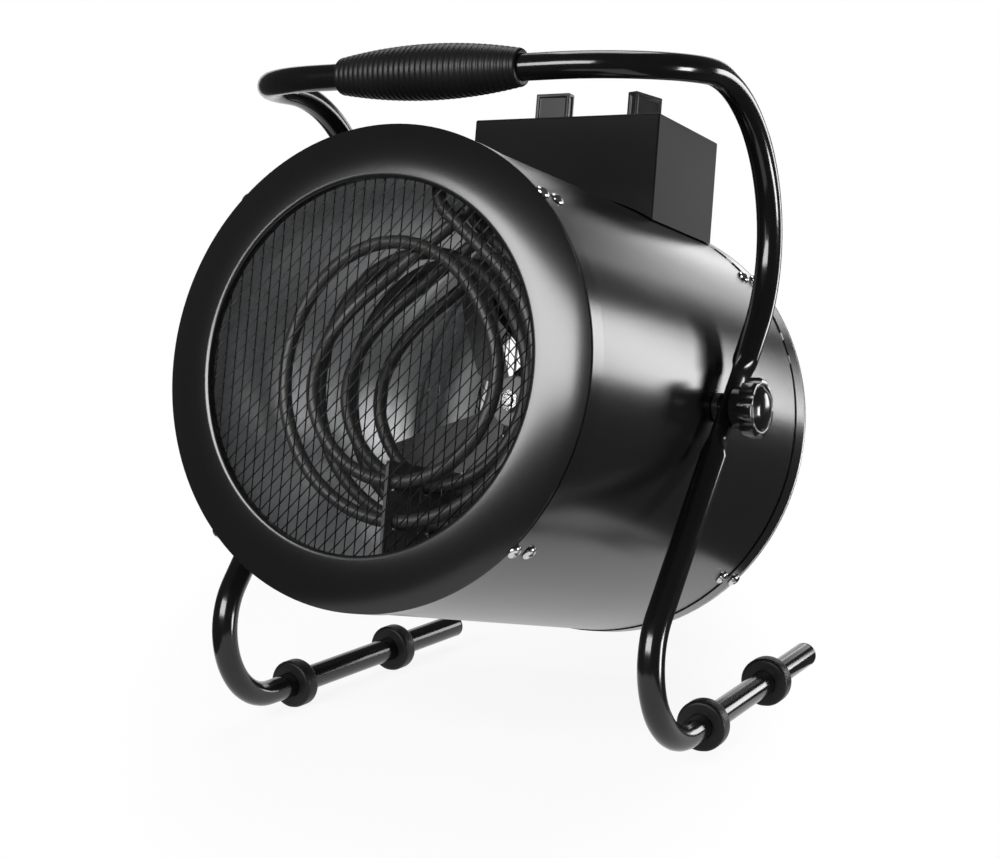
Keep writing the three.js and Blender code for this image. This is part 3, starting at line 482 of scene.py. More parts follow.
ring = turned("ring", ring_outline(), DRUM_STEPS)
rear_ring = copy_of(ring, "rear_ring_copy")
turned_round = in_drum @ at(0, DRUM, 0) @ turn(180, "X")
hand_over(settle(ring, in_drum, angle=50), "front_ring")
hand_over(settle(rear_ring, turned_round, angle=50), "rear_ring")
print("two rings of", len(ring.data.polygons), "faces")

# %% [markdown]
# The casing is one rolled sheet between the rings, with its edges rounded a little. Inside,
# the rear ring and the casing are bare steel, and this pale wall shows through the guard.
# The faces that look inwards are found by their normals and get a second material.

# %% Casing
INWARD = -1
FORWARD = -0.7


def bare_inside(piece, behind):
    """Leaves the faces that look into the drum unpainted."""
    piece.data.materials.append(finishes["bare_steel"])
    to_drum = in_drum.inverted()
    straighten = to_drum.to_3x3()
    for face in piece.data.polygons:
        centre = (to_drum @ face.center) / MM
        normal = straighten @ face.normal
        inward = normal.x * centre.x + normal.z * centre.z < INWARD
        if centre.y > behind and (inward or normal.y < FORWARD):
            face.material_index = 1


def casing_outline():
    """A sheet with rounded edges, clear of both rings."""
    start, end = SKIRT + AIR, DRUM - SKIRT - AIR
    down, near, far = 0.6, 0.3, 0.9
    return [
        (CASING - SHEET, start),
        (CASING - down, start + near),
        (CASING, start + far),
        *[(CASING, start + (end - start) * i / 8) for i in range(1, 8)],
        (CASING, end - far),
        (CASING - down, end - near),
        (CASING - SHEET, end),
        (CASING - SHEET, start),
    ]


bare_inside(rear_ring, DRUM - SKIRT)
casing = turned("casing", casing_outline(), DRUM_STEPS)
hand_over(settle(casing, in_drum), "casing", "casing_paint")
bare_inside(casing, SKIRT)
print("casing:", len(casing.data.polygons), "faces")

# %% [markdown]
# The inner drum keeps the heat off the casing. It is a galvanised sheet cylinder that starts
# just behind the guard, with a flange that reaches the front joint hoop, and it is what
# shines behind the mesh.

# %% Inner drum
INNER = 119
INNER_MOUTH = 2
INNER_START = 27
INNER_LENGTH = 180
HOOP_WALL = 1.2
FLANGE = CASING - SHEET - HOOP_WALL - 2 * AIR
FLANGE_BEND = 1.4
BACK_BEND = (2.5, 4)


def inner_drum_outline():
    """The cylinder's sheet, with the flange bent out of it."""
    places = [INNER_START + INNER_LENGTH * i / 6 for i in range(1, 7)]
    return [
        (INNER - SHEET, INNER_MOUTH),
        (INNER, INNER_MOUTH),
        (INNER, INNER_START - FLANGE_BEND),
        (INNER + FLANGE_BEND, INNER_START),
        (FLANGE, INNER_START),
        (FLANGE, INNER_START + SHEET),
        (INNER + BACK_BEND[0], INNER_START + SHEET),
        (INNER, INNER_START + BACK_BEND[1]),
        *[(INNER, place) for place in places],
        *[(INNER - SHEET, place) for place in reversed(places)],
        (INNER - SHEET, INNER_MOUTH),
    ]


inner_drum = turned("inner_drum", inner_drum_outline(), steps=128)
hand_over(settle(inner_drum, in_drum), "inner_drum")
print("inner drum:", len(inner_drum.data.polygons), "faces")

# %% [markdown]
# The guard is expanded mesh: thin strands in two directions, one set upright and one rising
# to the right at 45 degrees, so each gap is a leaning diamond. A grid gives the strands as
# its edges. A turn, a stretch and another turn lean its square cells into diamonds, bisecting
# along a circle trims it, and the Wireframe modifier gives each edge a flat strand.

# %% Guards
GUARD_RADIUS = OPENING + 3
STRAND_PITCH = 6.95
STRAND_ALONG = 1.34 * STRAND_PITCH
STRAND_RISE = 45
STRAND = 1.3
STRAND_WELD = 0.2
GUARD_CELLS, GUARD_CUTS = 56, 48
GUARD_HALF = 0.6
GUARD_SEAT = LIP_DEPTH - BULGE + AIR + GUARD_HALF


def lean_into_diamonds(across, along, rise):
    """The turn, stretch and turn that make a unit grid's cells into leaning diamonds.

    Any even stretch and lean of a flat grid is a turn, a stretch along X and Y and another
    turn. This is the formula for the three of them.
    """
    lean = across * math.tan(math.radians(rise)) / 2
    mean, half_gap = (across + along) / 2, (across - along) / 2
    large, small = math.hypot(mean, lean), math.hypot(half_gap, lean)
    of_mean, of_gap = math.atan2(lean, mean), math.atan2(lean, half_gap)
    return (of_mean - of_gap) / 2, (large + small, large - small), (of_mean + of_gap) / 2


def mesh_guard(name):
    """A trimmed disc of expanded mesh in the XY plane, facing +Z."""
    first, stretch, second = lean_into_diamonds(STRAND_PITCH, STRAND_ALONG, STRAND_RISE)
    select_nothing()
    bpy.ops.mesh.primitive_grid_add(
        x_subdivisions=GUARD_CELLS, y_subdivisions=GUARD_CELLS, size=GUARD_CELLS * MM
    )
    piece = bpy.context.object
    piece.name = name
    for step in (
        Matrix.Rotation(first, 4, "Z"),
        Matrix.Diagonal((stretch[0], stretch[1], 1, 1)),
        Matrix.Rotation(second, 4, "Z"),
    ):
        piece.matrix_world = step
        bpy.ops.object.transform_apply(location=False, rotation=True, scale=True)
    bpy.ops.object.mode_set(mode="EDIT")
    for i in range(GUARD_CUTS):
        angle = 2 * math.pi * i / GUARD_CUTS
        way = (math.cos(angle), math.sin(angle), 0)
        bpy.ops.mesh.select_all(action="SELECT")
        bpy.ops.mesh.bisect(
            plane_co=[v * GUARD_RADIUS * MM for v in way],
            plane_no=way,
            clear_outer=True,
        )
    bpy.ops.mesh.select_all(action="SELECT")
    bpy.ops.mesh.remove_doubles(threshold=STRAND_WELD * MM)
    bpy.ops.object.mode_set(mode="OBJECT")
    strands = piece.modifiers.new("strands", "WIREFRAME")
    strands.thickness = STRAND * MM
    strands.use_even_offset = False
    strands.use_boundary = True
    strands.use_replace = True
    apply_modifiers(piece)
    return piece


guard = mesh_guard("guard")
rear_guard = copy_of(guard, "rear_guard_copy")
facing_front = in_drum @ at(0, GUARD_SEAT, 0) @ turn(90, "X")
facing_rear = in_drum @ at(0, DRUM - GUARD_SEAT, 0) @ turn(180, "Z") @ turn(90, "X")
hand_over(settle(guard, facing_front, angle=20), "front_guard", "guard_paint")
hand_over(settle(rear_guard, facing_rear, angle=20), "rear_guard", "guard_paint")
print("guard:", len(guard.data.polygons), "faces")

# %% [markdown]
# A bent tube is drawn as a line of vertices along its middle, turned into a curve with a
# round bevel, and made a mesh again. The heating elements are such tubes: each comes down
# through the plate at the top, runs once round the wide turn and once round the narrow one,
# and goes back up a little further in.


# %% Bent tubes
def bent_tube(name, points, radius, resolution):
    """A round tube along points in millimetres."""
    piece = draw_line(name, points)
    bpy.ops.object.mode_set(mode="OBJECT")
    bpy.ops.object.convert(target="CURVE")
    curve = bpy.context.object
    curve.data.dimensions = "3D"
    curve.data.bevel_depth = radius * MM
    curve.data.bevel_resolution = resolution
    curve.data.use_fill_caps = True
    bpy.ops.object.convert(target="MESH")
    piece = bpy.context.object
    bpy.ops.object.mode_set(mode="EDIT")
    close_up()
    return piece


# %% Heating elements
ELEMENT_TUBE = 4.25
WIDE_TURN = 88.4
NARROW_TURN = 65
NARROW_AHEAD = 5
NEAR_LEG, FAR_LEG = 12, 30
LEG_SETBACK = 12
LEG_BEND = 105
LEG_TOP = 132
BEND_LENGTH, BEND_STEPS = 9, 8
TURN_STEPS = 104
INWARDS_FROM, INWARDS_OVER = 1.75 * math.pi, 0.6 * math.pi
BACKWARDS_FROM = 3.4 * math.pi
ELEMENT_PLACES = (40, 78.5, 117)


def tangent_angle(radius, x, z, way):
    """Where a line to a leg leaves a turn, clockwise from the top."""
    return math.atan2(x, z) - way * math.acos(radius / math.hypot(x, z))


def ease(share):
    """A smooth change from 0 to 1."""
    share = min(max(share, 0.0), 1.0)
    return share * share * (3 - 2 * share)


def bend(x, y, towards):
    """Short steps from a leg into the way to its turn."""
    corner = Vector((x, y, LEG_BEND))
    above = Vector((x, y, LEG_BEND + BEND_LENGTH))
    along = corner + (Vector(towards) - corner).normalized() * BEND_LENGTH
    shares = [i / BEND_STEPS for i in range(BEND_STEPS + 1)]
    return [
        tuple(above * (1 - s) ** 2 + corner * 2 * s * (1 - s) + along * s * s) for s in shares
    ]


def element_line(front):
    """The middle of one element's tube."""
    start = tangent_angle(WIDE_TURN, NEAR_LEG, LEG_BEND, -1)
    end = tangent_angle(NARROW_TURN, FAR_LEG, LEG_BEND, 1) + 4 * math.pi
    turns = []
    for i in range(TURN_STEPS + 1):
        angle = start + (end - start) * i / TURN_STEPS
        inwards = ease((angle - INWARDS_FROM) / INWARDS_OVER)
        backwards = ease((angle - BACKWARDS_FROM) / (end - BACKWARDS_FROM))
        back = (LEG_SETBACK + NARROW_AHEAD) * backwards - NARROW_AHEAD * inwards
        radius = WIDE_TURN + (NARROW_TURN - WIDE_TURN) * inwards
        turns.append((radius * math.sin(angle), front + back, radius * math.cos(angle)))
    first = bend(NEAR_LEG, front, turns[0])
    last = bend(FAR_LEG, front + LEG_SETBACK, turns[-1])[::-1]
    top = [(NEAR_LEG, front, LEG_TOP)]
    far_top = [(FAR_LEG, front + LEG_SETBACK, LEG_TOP)]
    return top + first + turns + last + far_top


for number, front in enumerate(ELEMENT_PLACES, 1):
    element = bent_tube("element", element_line(front), ELEMENT_TUBE, 5)
    hand_over(settle(element, in_drum), f"heating_element_{number}")
print("elements:", len(ELEMENT_PLACES), "of", len(element.data.polygons), "faces")

# %% [markdown]
# The stand is one tube. Each side has a foot that lies on the floor, a knee, a leg that
# leans back through the pivot, a wide elbow and a corner into the handle bar. The solid's
# bends are repeated here in small steps. At the pivots the real tube is pressed flat: there
# each ring of vertices is squeezed across and widened along the leg's side.

# %% Stand tube
TUBE = 8.25
HALF_WIDTH = 153
FOOT_RADIUS = 16
TUBE_HEIGHT = FOOT_RADIUS - 0.5
LEAN = math.radians(44.7)
RISE = math.radians(5.35)
TOE = math.radians(3.4)
KNEE, ELBOW, CORNER = 47, 96, 70
ELBOW_START = 60.8
FOOT_END = 140.7
PIVOT_HEIGHT = 205
FLAT_REACH, FLAT_BLEND = 23, 15
FLAT_HALF = 4
FLAT_THIN, FLAT_WIDE = FLAT_HALF / TUBE, 1.28
FLAT_PLACES = range(-38, 39, 2)
NEAR_PLACE = 0.5
KNEE_STEPS, ELBOW_STEPS, CORNER_STEPS = 28, 40, 20
SIDES = (("left", -1), ("right", 1))
up_leg = (math.sin(LEAN), math.cos(LEAN))
off_leg = (-math.cos(LEAN), math.sin(LEAN))


def along_leg(t):
    """(y, z) on the leg's middle, t from the pivot."""
    return t * up_leg[0], PIVOT_HEIGHT + t * up_leg[1]


knee_along = (TUBE_HEIGHT + KNEE - PIVOT_HEIGHT + KNEE * off_leg[1]) / up_leg[1]
knee_centre = (along_leg(knee_along)[0] - KNEE * off_leg[0], TUBE_HEIGHT + KNEE)
elbow_foot = along_leg(ELBOW_START)
elbow_centre = (elbow_foot[0] + ELBOW * off_leg[0], elbow_foot[1] + ELBOW * off_leg[1])
arm_end = arc(elbow_centre, ELBOW, 0, 90 - math.degrees(RISE), 1)[1]
arm_way = (-math.cos(RISE), math.sin(RISE))
handle = (arm_end[0] + CORNER * arm_way[0], arm_end[1] + CORNER * arm_way[1])


def foot_across(y):
    """How far a foot's middle is from the heater's middle, at a place along it."""
    return HALF_WIDTH - max(0, y - knee_centre[0]) * math.tan(TOE)


def side_line():
    """The middle of one side of the stand, from its foot's end to the handle bar."""
    lean, rise = math.degrees(LEAN), math.degrees(RISE)
    line = [(foot_across(FOOT_END), FOOT_END, TUBE_HEIGHT)]
    knee = arc(knee_centre, KNEE, -90, -180 - lean, KNEE_STEPS)
    elbow = arc(elbow_centre, ELBOW, -lean, 90 - rise, ELBOW_STEPS)
    flat = [along_leg(place) for place in FLAT_PLACES]
    line += [(HALF_WIDTH, y, z) for y, z in [*knee, *flat, *elbow]]
    for i in range(1, CORNER_STEPS + 1):
        angle = i / CORNER_STEPS * math.pi / 2
        across = HALF_WIDTH - CORNER * (1 - math.cos(angle))
        forward = CORNER * math.sin(angle)
        y = arm_end[0] + forward * arm_way[0]
        line.append((across, y, arm_end[1] + forward * arm_way[1]))
    return line


def press_flat(piece):
    """Squeezes the rings of vertices near both pivots."""
    upright = Matrix.Rotation(LEAN, 4, "X") @ at(0, 0, -PIVOT_HEIGHT)
    settle(piece, upright)
    for place in FLAT_PLACES:
        amount = 1 - ease((abs(place) - FLAT_REACH) / FLAT_BLEND)
        for vertex in piece.data.vertices:
            off_ring = abs(vertex.co.z - place * MM)
            if off_ring < NEAR_PLACE * MM and abs(vertex.co.y) < 2 * TUBE * MM:
                middle = math.copysign(HALF_WIDTH * MM, vertex.co.x)
                thin = 1 + (FLAT_THIN - 1) * amount
                vertex.co.x = middle + (vertex.co.x - middle) * thin
                vertex.co.y *= 1 + (FLAT_WIDE - 1) * amount
    settle(piece, upright.inverted())


right_side = side_line()
left_side = [(-x, y, z) for x, y, z in reversed(right_side)]
stand_tube = bent_tube("stand_tube", right_side + left_side, TUBE, 7)
press_flat(stand_tube)
in_stand = Matrix.Translation((0, pivot.y, 0))
hand_over(settle(stand_tube, in_stand), "stand_tube")
print("stand tube:", len(stand_tube.data.polygons), "faces")

# %% [markdown]
# The grip is a rubber sleeve with round ribs, thickest in the middle. Its outline is a row
# of small arches on a swelling line. The rubber rings on the feet and the plugs in
# the tube's ends are turned in the same way. The rings are pressed flat on the floor, which
# a bisecting cut does.

# %% Grip
GRIP_LENGTH = 128
GRIP_MIDDLE, GRIP_END = 17.2, 11.4
GRIP_FACE = GRIP_END - 1.6
GRIP_RIBS, RIB_POINTS = 33, 7
RIB_DEPTH = 1.15
SLEEVE_BORE = TUBE + 0.1


def grip_outline():
    """The sleeve's outline: bore, end, ribs, end."""
    half = GRIP_LENGTH / 2
    pitch = GRIP_LENGTH / GRIP_RIBS
    line = [(SLEEVE_BORE, -half), (GRIP_FACE, -half)]
    for rib in range(GRIP_RIBS):
        for step in range(RIB_POINTS):
            share = (step + 0.5) / RIB_POINTS
            along = -half + rib * pitch + share * pitch
            swell = GRIP_END + (GRIP_MIDDLE - GRIP_END) * (1 - (along / half) ** 2)
            round_top = math.sqrt(1 - (2 * share - 1) ** 2)
            line.append((swell - RIB_DEPTH * (1 - round_top), along))
    return [*line, (GRIP_FACE, half), (SLEEVE_BORE, half), line[0]]


grip = turned("grip", grip_outline(), steps=72)
grip_place = in_stand @ at(0, *handle) @ turn(90, "Z")
hand_over(settle(grip, grip_place, angle=60), "handle_grip")
print("grip:", len(grip.data.polygons), "faces")


# %% Foot rings
FRONT_FOOT, REAR_FOOT = -48.8, 65.2


def foot_ring_outline():
    """A rubber ring with rounded rims."""
    half, rim = 6, 2.4
    left = arc((FOOT_RADIUS - rim, -half + rim), rim, -90, 0, 5)
    right = arc((FOOT_RADIUS - rim, half - rim), rim, 0, 90, 5)
    return [(SLEEVE_BORE, -half), *left, *right, (SLEEVE_BORE, half), (SLEEVE_BORE, -half)]


def on_foot(side, along):
    """The place on a foot, turned as the foot is."""
    middle = in_stand @ at(side * foot_across(along), along, TUBE_HEIGHT)
    return middle @ turn(side * math.degrees(TOE), "Z")


foot_ring = turned("foot_ring", foot_ring_outline(), steps=64)
for place_word, along in (("front", FRONT_FOOT), ("rear", REAR_FOOT)):
    for side_word, side in SIDES:
        piece = settle(copy_of(foot_ring, "foot_ring_copy"), on_foot(side, along))
        bpy.ops.object.mode_set(mode="EDIT")
        bpy.ops.mesh.select_all(action="SELECT")
        bpy.ops.mesh.bisect(
            plane_co=(0, 0, 0),
            plane_no=(0, 0, 1),
            clear_inner=True,
            use_fill=True,
            threshold=WELD * MM,
        )
        bpy.ops.object.mode_set(mode="OBJECT")
        hand_over(settle(piece, Matrix.Identity(4)), f"foot_ring_{place_word}_{side_word}")
bpy.data.objects.remove(foot_ring)
print("four foot rings")

# %% Plugs
PLUG_CAP, CAP_ROUND = 2.5, 1.2
PLUG_DEPTH = 12
plug = turned(
    "plug",
    [
        (0, -PLUG_DEPTH),
        (5.4, -PLUG_DEPTH),
        (5.6, AIR),
        (TUBE - 0.2, AIR),
        *arc((TUBE - CAP_ROUND, PLUG_CAP - CAP_ROUND), CAP_ROUND, 0, 90, 4),
        (0, PLUG_CAP),
    ],
    steps=48,
)
for side_word, side in SIDES:
    piece = settle(copy_of(plug, "plug_copy"), on_foot(side, FOOT_END))
    hand_over(piece, f"foot_plug_{side_word}")
bpy.data.objects.remove(plug)
print("two plugs")

# %% [markdown]
# The screws are pan heads with a cross recess. One is turned, the cross is cut with two thin
# blocks, and it is copied to the sixteen places: in pairs, one on each side of a seam.

# %% Screws
SCREW_HEAD, SCREW_HEIGHT = 4.7, 3.2
SCREW_SHANK, SCREW_DEPTH = 1.8, 6
SCREW_RIM = 0.9
CROSS = (5.2, 3.2, 1.1)
SCREW_FROM_FOLD = 5.5
SCREW_BEYOND_SEAM = 8


def block(name, width, length, height, place):
    """A block for cutting or shaping, sizes in millimetres."""
    select_nothing()
    bpy.ops.mesh.primitive_cube_add(size=1)
    piece = bpy.context.object
    piece.name = name
    bpy.ops.object.mode_set(mode="EDIT")
    bpy.ops.mesh.select_all(action="SELECT")
    bpy.ops.transform.resize(value=(width * MM, length * MM, height * MM))
    bpy.ops.object.mode_set(mode="OBJECT")
    return settle(piece, place)


def screw_outline():
    """A shank and a domed head."""
    dome = SCREW_HEIGHT - SCREW_RIM
    angles = [math.radians(11.25 * i) for i in range(1, 8)]
    return [
        (0, -SCREW_DEPTH),
        (SCREW_SHANK, -SCREW_DEPTH),
        (SCREW_SHANK, AIR),
        (SCREW_HEAD - 0.3, AIR),
        (SCREW_HEAD, AIR + 0.3),
        (SCREW_HEAD, SCREW_RIM),
        *[(SCREW_HEAD * math.cos(a), SCREW_RIM + dome * math.sin(a)) for a in angles],
        (0, SCREW_HEIGHT),
    ]


screw = turned("screw", screw_outline(), steps=40)
for spin_angle in (0, 90):
    cross = block("cross", *CROSS, turn(spin_angle, "Y") @ at(0, SCREW_HEIGHT, 0))
    boolean(screw, cross)
screw_rows = {
    "front_ring_screw": (SCREW_FROM_FOLD, RING),
    "front_casing_screw": (SKIRT + SCREW_BEYOND_SEAM, CASING),
    "rear_ring_screw": (DRUM - SCREW_FROM_FOLD, RING),
    "rear_casing_screw": (DRUM - SKIRT - SCREW_BEYOND_SEAM, CASING),
}
for row, (along, surface) in screw_rows.items():
    for number in range(1, 5):
        angle = 90 * (number - 0.5)
        piece = copy_of(screw, "screw_copy")
        stand_out = at(0, along, 0) @ turn(angle, "Y") @ at(0, 0, surface - AIR)
        tipped = stand_out @ turn(90, "X") @ turn(37 * number + along, "Y")
        hand_over(settle(piece, in_drum @ tipped), f"{row}_{number}")
bpy.data.objects.remove(screw)
print("screws:", 4 * len(screw_rows))

# %% [markdown]
# The control box is folded from sheet: a block with its edges rounded as a fold rounds them,
# hollowed from below and cut to sit on the round casing. Each dial is a low disc with a
# straight bar to turn it by, and the bar's sides are slightly sunk, as moulded ones are.

# %% Control box
BOX_WIDTH, BOX_LENGTH = 140.2, 94.4
BOX_HEIGHT = 54.2
BOX_FROM_REAR = 11.4
BOX_FRONT = DRUM - BOX_FROM_REAR - BOX_LENGTH
BOX_MIDDLE = BOX_FRONT + BOX_LENGTH / 2
BOX_TOP = CASING + BOX_HEIGHT
BOX_BOTTOM = 90
BOX_LOWEST = 112
BOX_FOLD = 1.3


def control_box():
    """The folded box, open below."""
    tall = BOX_TOP - BOX_BOTTOM
    middle = (BOX_TOP + BOX_BOTTOM) / 2
    box = block("box", BOX_WIDTH, BOX_LENGTH, tall, at(0, BOX_MIDDLE, middle))
    soften(box, BOX_FOLD, segments=4)
    hollow = block(
        "hollow",
        BOX_WIDTH - 2 * SHEET,
        BOX_LENGTH - 2 * SHEET,
        tall,
        at(0, BOX_MIDDLE, middle - SHEET),
    )
    boolean(box, hollow)
    ahead, round_seat = BOX_FRONT - 9, RING + AIR
    seat_outline = [(0, ahead), (round_seat, ahead), (round_seat, DRUM), (0, DRUM)]
    boolean(box, turned("seat", seat_outline, DRUM_STEPS))
    wide, deep = 300, 100
    under = at(0, BOX_MIDDLE, BOX_LOWEST - deep / 2)
    boolean(box, block("below", wide, wide, deep, under))
    return box


box = control_box()
hand_over(settle(box, in_drum, angle=30), "control_box")
print("control box:", len(box.data.polygons), "faces")

# %% Dials
DIAL_ACROSS = 0.25 * BOX_WIDTH
DIAL_DISC, DISC_SIDE, DISC_TOP = 18, 4, 5.5
DISC_ROUND = 1.4
BAR_FOOT = 2
DIAL_BAR = (26, 8)
BAR_RIM, SUNK_SLOPE, SUNK_DEPTH = 2.2, 0.5, 0.9
BAR_ROUND = 0.9


def dial(height):
    """A disc and a bar to turn it by, its axis along Z and its base at 0."""
    rim = arc((DIAL_DISC - DISC_ROUND, DISC_TOP - DISC_ROUND), DISC_ROUND, 0, 90, 5)
    outline = [(0, 0), (DIAL_DISC, 0), (DIAL_DISC, DISC_SIDE), *rim, (0, DISC_TOP)]
    disc = turned("dial", outline)
    settle(disc, turn(90, "X"))
    wide, thick = DIAL_BAR
    middle = at(0, 0, (height + BAR_FOOT) / 2)
    bar = block("bar", wide, thick, height - BAR_FOOT, middle)
    bpy.ops.object.mode_set(mode="EDIT")
    bpy.ops.mesh.select_all(action="DESELECT")
    bpy.ops.object.mode_set(mode="OBJECT")
    for face in bar.data.polygons:
        face.select = abs(face.normal.y) > 0.9
    bpy.ops.object.mode_set(mode="EDIT")
    bpy.ops.mesh.select_mode(type="FACE")
    bpy.ops.mesh.inset(thickness=BAR_RIM * MM, use_individual=True)
    bpy.ops.mesh.inset(
        thickness=SUNK_SLOPE * MM, depth=-SUNK_DEPTH * MM, use_individual=True
    )
    bpy.ops.object.mode_set(mode="OBJECT")
    soften(bar, BAR_ROUND, segments=4, angle=25)
    boolean(disc, bar, "UNION")
    return disc


for node, side, height, turned_by in (
    ("thermostat_knob", -1, 26.8, 0),
    ("selector_knob", 1, 23.5, 73),
):
    piece = dial(height)
    base = at(side * DIAL_ACROSS, BOX_MIDDLE, BOX_TOP + 2 * AIR)
    place = in_drum @ base @ turn(turned_by, "Z")
    hand_over(settle(piece, place, angle=30), node, "dial_plastic")
print("two dials on the box")

# %% [markdown]
# The clamp knobs are moulded with seven lobes and a domed face. The round body is turned
# first, and seven rods then cut the hollows for the fingers. Behind the tube a plastic
# spacer keeps the stand off the casing, and a zinc stud goes through both.

# %% Clamp knobs and pivots
KNOB_SEAT = HALF_WIDTH + FLAT_HALF + AIR
KNOB_RADIUS, KNOB_ROUND = 19, 0.7
KNOB_TURN = 12
LOBES = 7
HOLLOW, HOLLOW_AWAY = 7.5, 23.4
STUD_DEPTH = 11


def clamp_knob():
    """One knob, its axis along Y from the seat outwards."""
    body = turned(
        "clamp",
        [
            (0, 0),
            (12.4, 0),
            (13, 0.6),
            (13, 8.2),
            *arc((KNOB_RADIUS - 1.2, 9.4), 1.2, -90, 0, 3),
            *arc((KNOB_RADIUS - 2.2, 15.7), 2.2, 0, 84, 6),
            (14.6, 17.7),
            (14.0, 17.2),
            (13.4, 17.5),
            (11.4, 19.2),
            (8.6, 20.5),
            (4.6, 21.2),
            (0, 21.4),
        ],
        steps=112,
    )
    for lobe in range(LOBES):
        angle = 2 * math.pi * (lobe + 0.5) / LOBES
        rod = turned("rod", [(0, 7), (HOLLOW, 7), (HOLLOW, 40), (0, 40)], steps=48)
        settle(rod, at(HOLLOW_AWAY * math.cos(angle), 0, HOLLOW_AWAY * math.sin(angle)))
        boolean(body, rod)
    soften(body, KNOB_ROUND, angle=40)
    return body


clamp = clamp_knob()
spacer = turned(
    "spacer",
    [(4.4, 0.3), (8.6, 0.3), (9, 0.6), (9, 4.2), (8.6, 4.5), (4.4, 4.5), (4.4, 0.3)],
    steps=64,
)
stud_outline = [(0, 0), (3.6, 0), (4, 0.5), (4, 33), (3.6, 33.4), (0, 33.4)]
stud = turned("stud", stud_outline, steps=32)
for side_word, side in SIDES:
    outward = in_drum @ at(0, PIVOT_FROM_FRONT, 0) @ turn(-90 * side, "Z")
    pieces = {
        "clamp_knob": (clamp, outward @ at(0, KNOB_SEAT, 0) @ turn(KNOB_TURN, "Y")),
        "pivot_spacer": (spacer, outward @ at(0, CASING, 0)),
        "clamp_stud": (stud, outward @ at(0, CASING - STUD_DEPTH, 0)),
    }
    for word, (shape, place) in pieces.items():
        piece = settle(copy_of(shape, "pivot_copy"), place, angle=30)
        hand_over(piece, f"{word}_{side_word}")
for shape in (clamp, spacer, stud):
    bpy.data.objects.remove(shape)
print("clamp knobs with", LOBES, "lobes, spacers and studs")

# %% [markdown]
# The fan's blades are cut from sheet, each with one straight and one curved edge, and
# twisted. A grid is given the blade's outline by widening its columns, each column is turned
# a little less than the last, from root to tip, and Solidify gives the sheet its thickness.
# The motor behind it is a turned can.

# %% Fan
FAN_RADIUS = 104
HUB_RADIUS = 17
MOTOR_FROM_REAR, MOTOR_LENGTH = 30, 70
FAN_AHEAD = 38
MOTOR_BACK = DRUM - MOTOR_FROM_REAR + AIR
MOTOR_FRONT = MOTOR_BACK - MOTOR_LENGTH
FAN_CENTRE = MOTOR_FRONT - FAN_AHEAD
BLADES = 4
BLADE_FROM = 161.4
BLADE_WIDTH = 34
BLADE_PITCH, BLADE_TWIST = 27, 8
BLADE_HOLLOW = 2.2
BLADE_SHEET = 1.4
BLADE_COLUMNS, BLADE_ROWS = 24, 8
SHAFT = 4


def blade_edge(share):
    """How wide the blade is at a share of its length; its root and tip are narrower."""
    root = min(1, 0.35 + 3.2 * share)
    tip = 1 - max(0, share - 0.62) ** 2 * 3.4
    return BLADE_WIDTH * root * tip


def blade():
    """One blade along +X, one edge straight, before it is copied round the hub."""
    start, end = 0.7 * HUB_RADIUS, 0.985 * FAN_RADIUS
    select_nothing()
    bpy.ops.mesh.primitive_grid_add(
        x_subdivisions=BLADE_COLUMNS, y_subdivisions=BLADE_ROWS, size=1
    )
    piece = bpy.context.object
    for vertex in piece.data.vertices:
        share, row = vertex.co.x + 0.5, vertex.co.y + 0.5
        across = row * blade_edge(share)
        pitch = math.radians(BLADE_PITCH + BLADE_TWIST * (0.5 - share))
        hollow = BLADE_HOLLOW * math.sin(row * math.pi) * (1 - share)
        vertex.co.x = (start + share * (end - start)) * MM
        vertex.co.y = ((across - BLADE_WIDTH / 2) * math.sin(pitch) + hollow) * MM
        vertex.co.z = across * math.cos(pitch) * MM
    wall = piece.modifiers.new("wall", "SOLIDIFY")
    wall.thickness = BLADE_SHEET * MM
    wall.offset = 0
    apply_modifiers(piece)
    return piece


def impeller():
    """Hub and blades about the Y axis."""
    bore, half, edge = SHAFT + AIR, 10, 1
    outline = [
        (bore, -half),
        (HUB_RADIUS - edge, -half),
        (HUB_RADIUS, -half + edge),
        (HUB_RADIUS, half - edge),
        (HUB_RADIUS - edge, half),
        (bore, half),
        (bore, -half),
    ]
    hub = turned("hub", outline, steps=64)
    first = blade()
    for number in range(BLADES):
        piece = copy_of(first, "blade_copy")
        settle(piece, turn(BLADE_FROM + 360 * number / BLADES, "Y"))
        boolean(hub, piece, "UNION")
    bpy.data.objects.remove(first)
    return hub


fan = impeller()
hand_over(settle(fan, in_drum @ at(0, FAN_CENTRE, 0), angle=30), "fan_impeller")
print("fan with", BLADES, "blades,", len(fan.data.polygons), "faces")

# %% Motor and shaft
CAN, CAN_ROUND = 38, 3.5
BEARING = 14
SEAM_AT = MOTOR_FRONT + 20


def motor_outline():
    """A can with a bearing in front and a seam round it."""
    corner = CAN - CAN_ROUND
    return [
        (0, MOTOR_FRONT - 8),
        (BEARING - 0.6, MOTOR_FRONT - 8),
        (BEARING, MOTOR_FRONT - 7.4),
        (BEARING, MOTOR_FRONT),
        (CAN - 4, MOTOR_FRONT),
        *arc((corner, MOTOR_FRONT + CAN_ROUND), CAN_ROUND, -90, 0, 5),
        (CAN, SEAM_AT),
        (CAN - 0.7, SEAM_AT + 0.4),
        (CAN - 0.7, SEAM_AT + 1.6),
        (CAN, SEAM_AT + 2),
        *arc((corner, MOTOR_BACK - CAN_ROUND), CAN_ROUND, 0, 90, 5),
        (0, MOTOR_BACK),
    ]


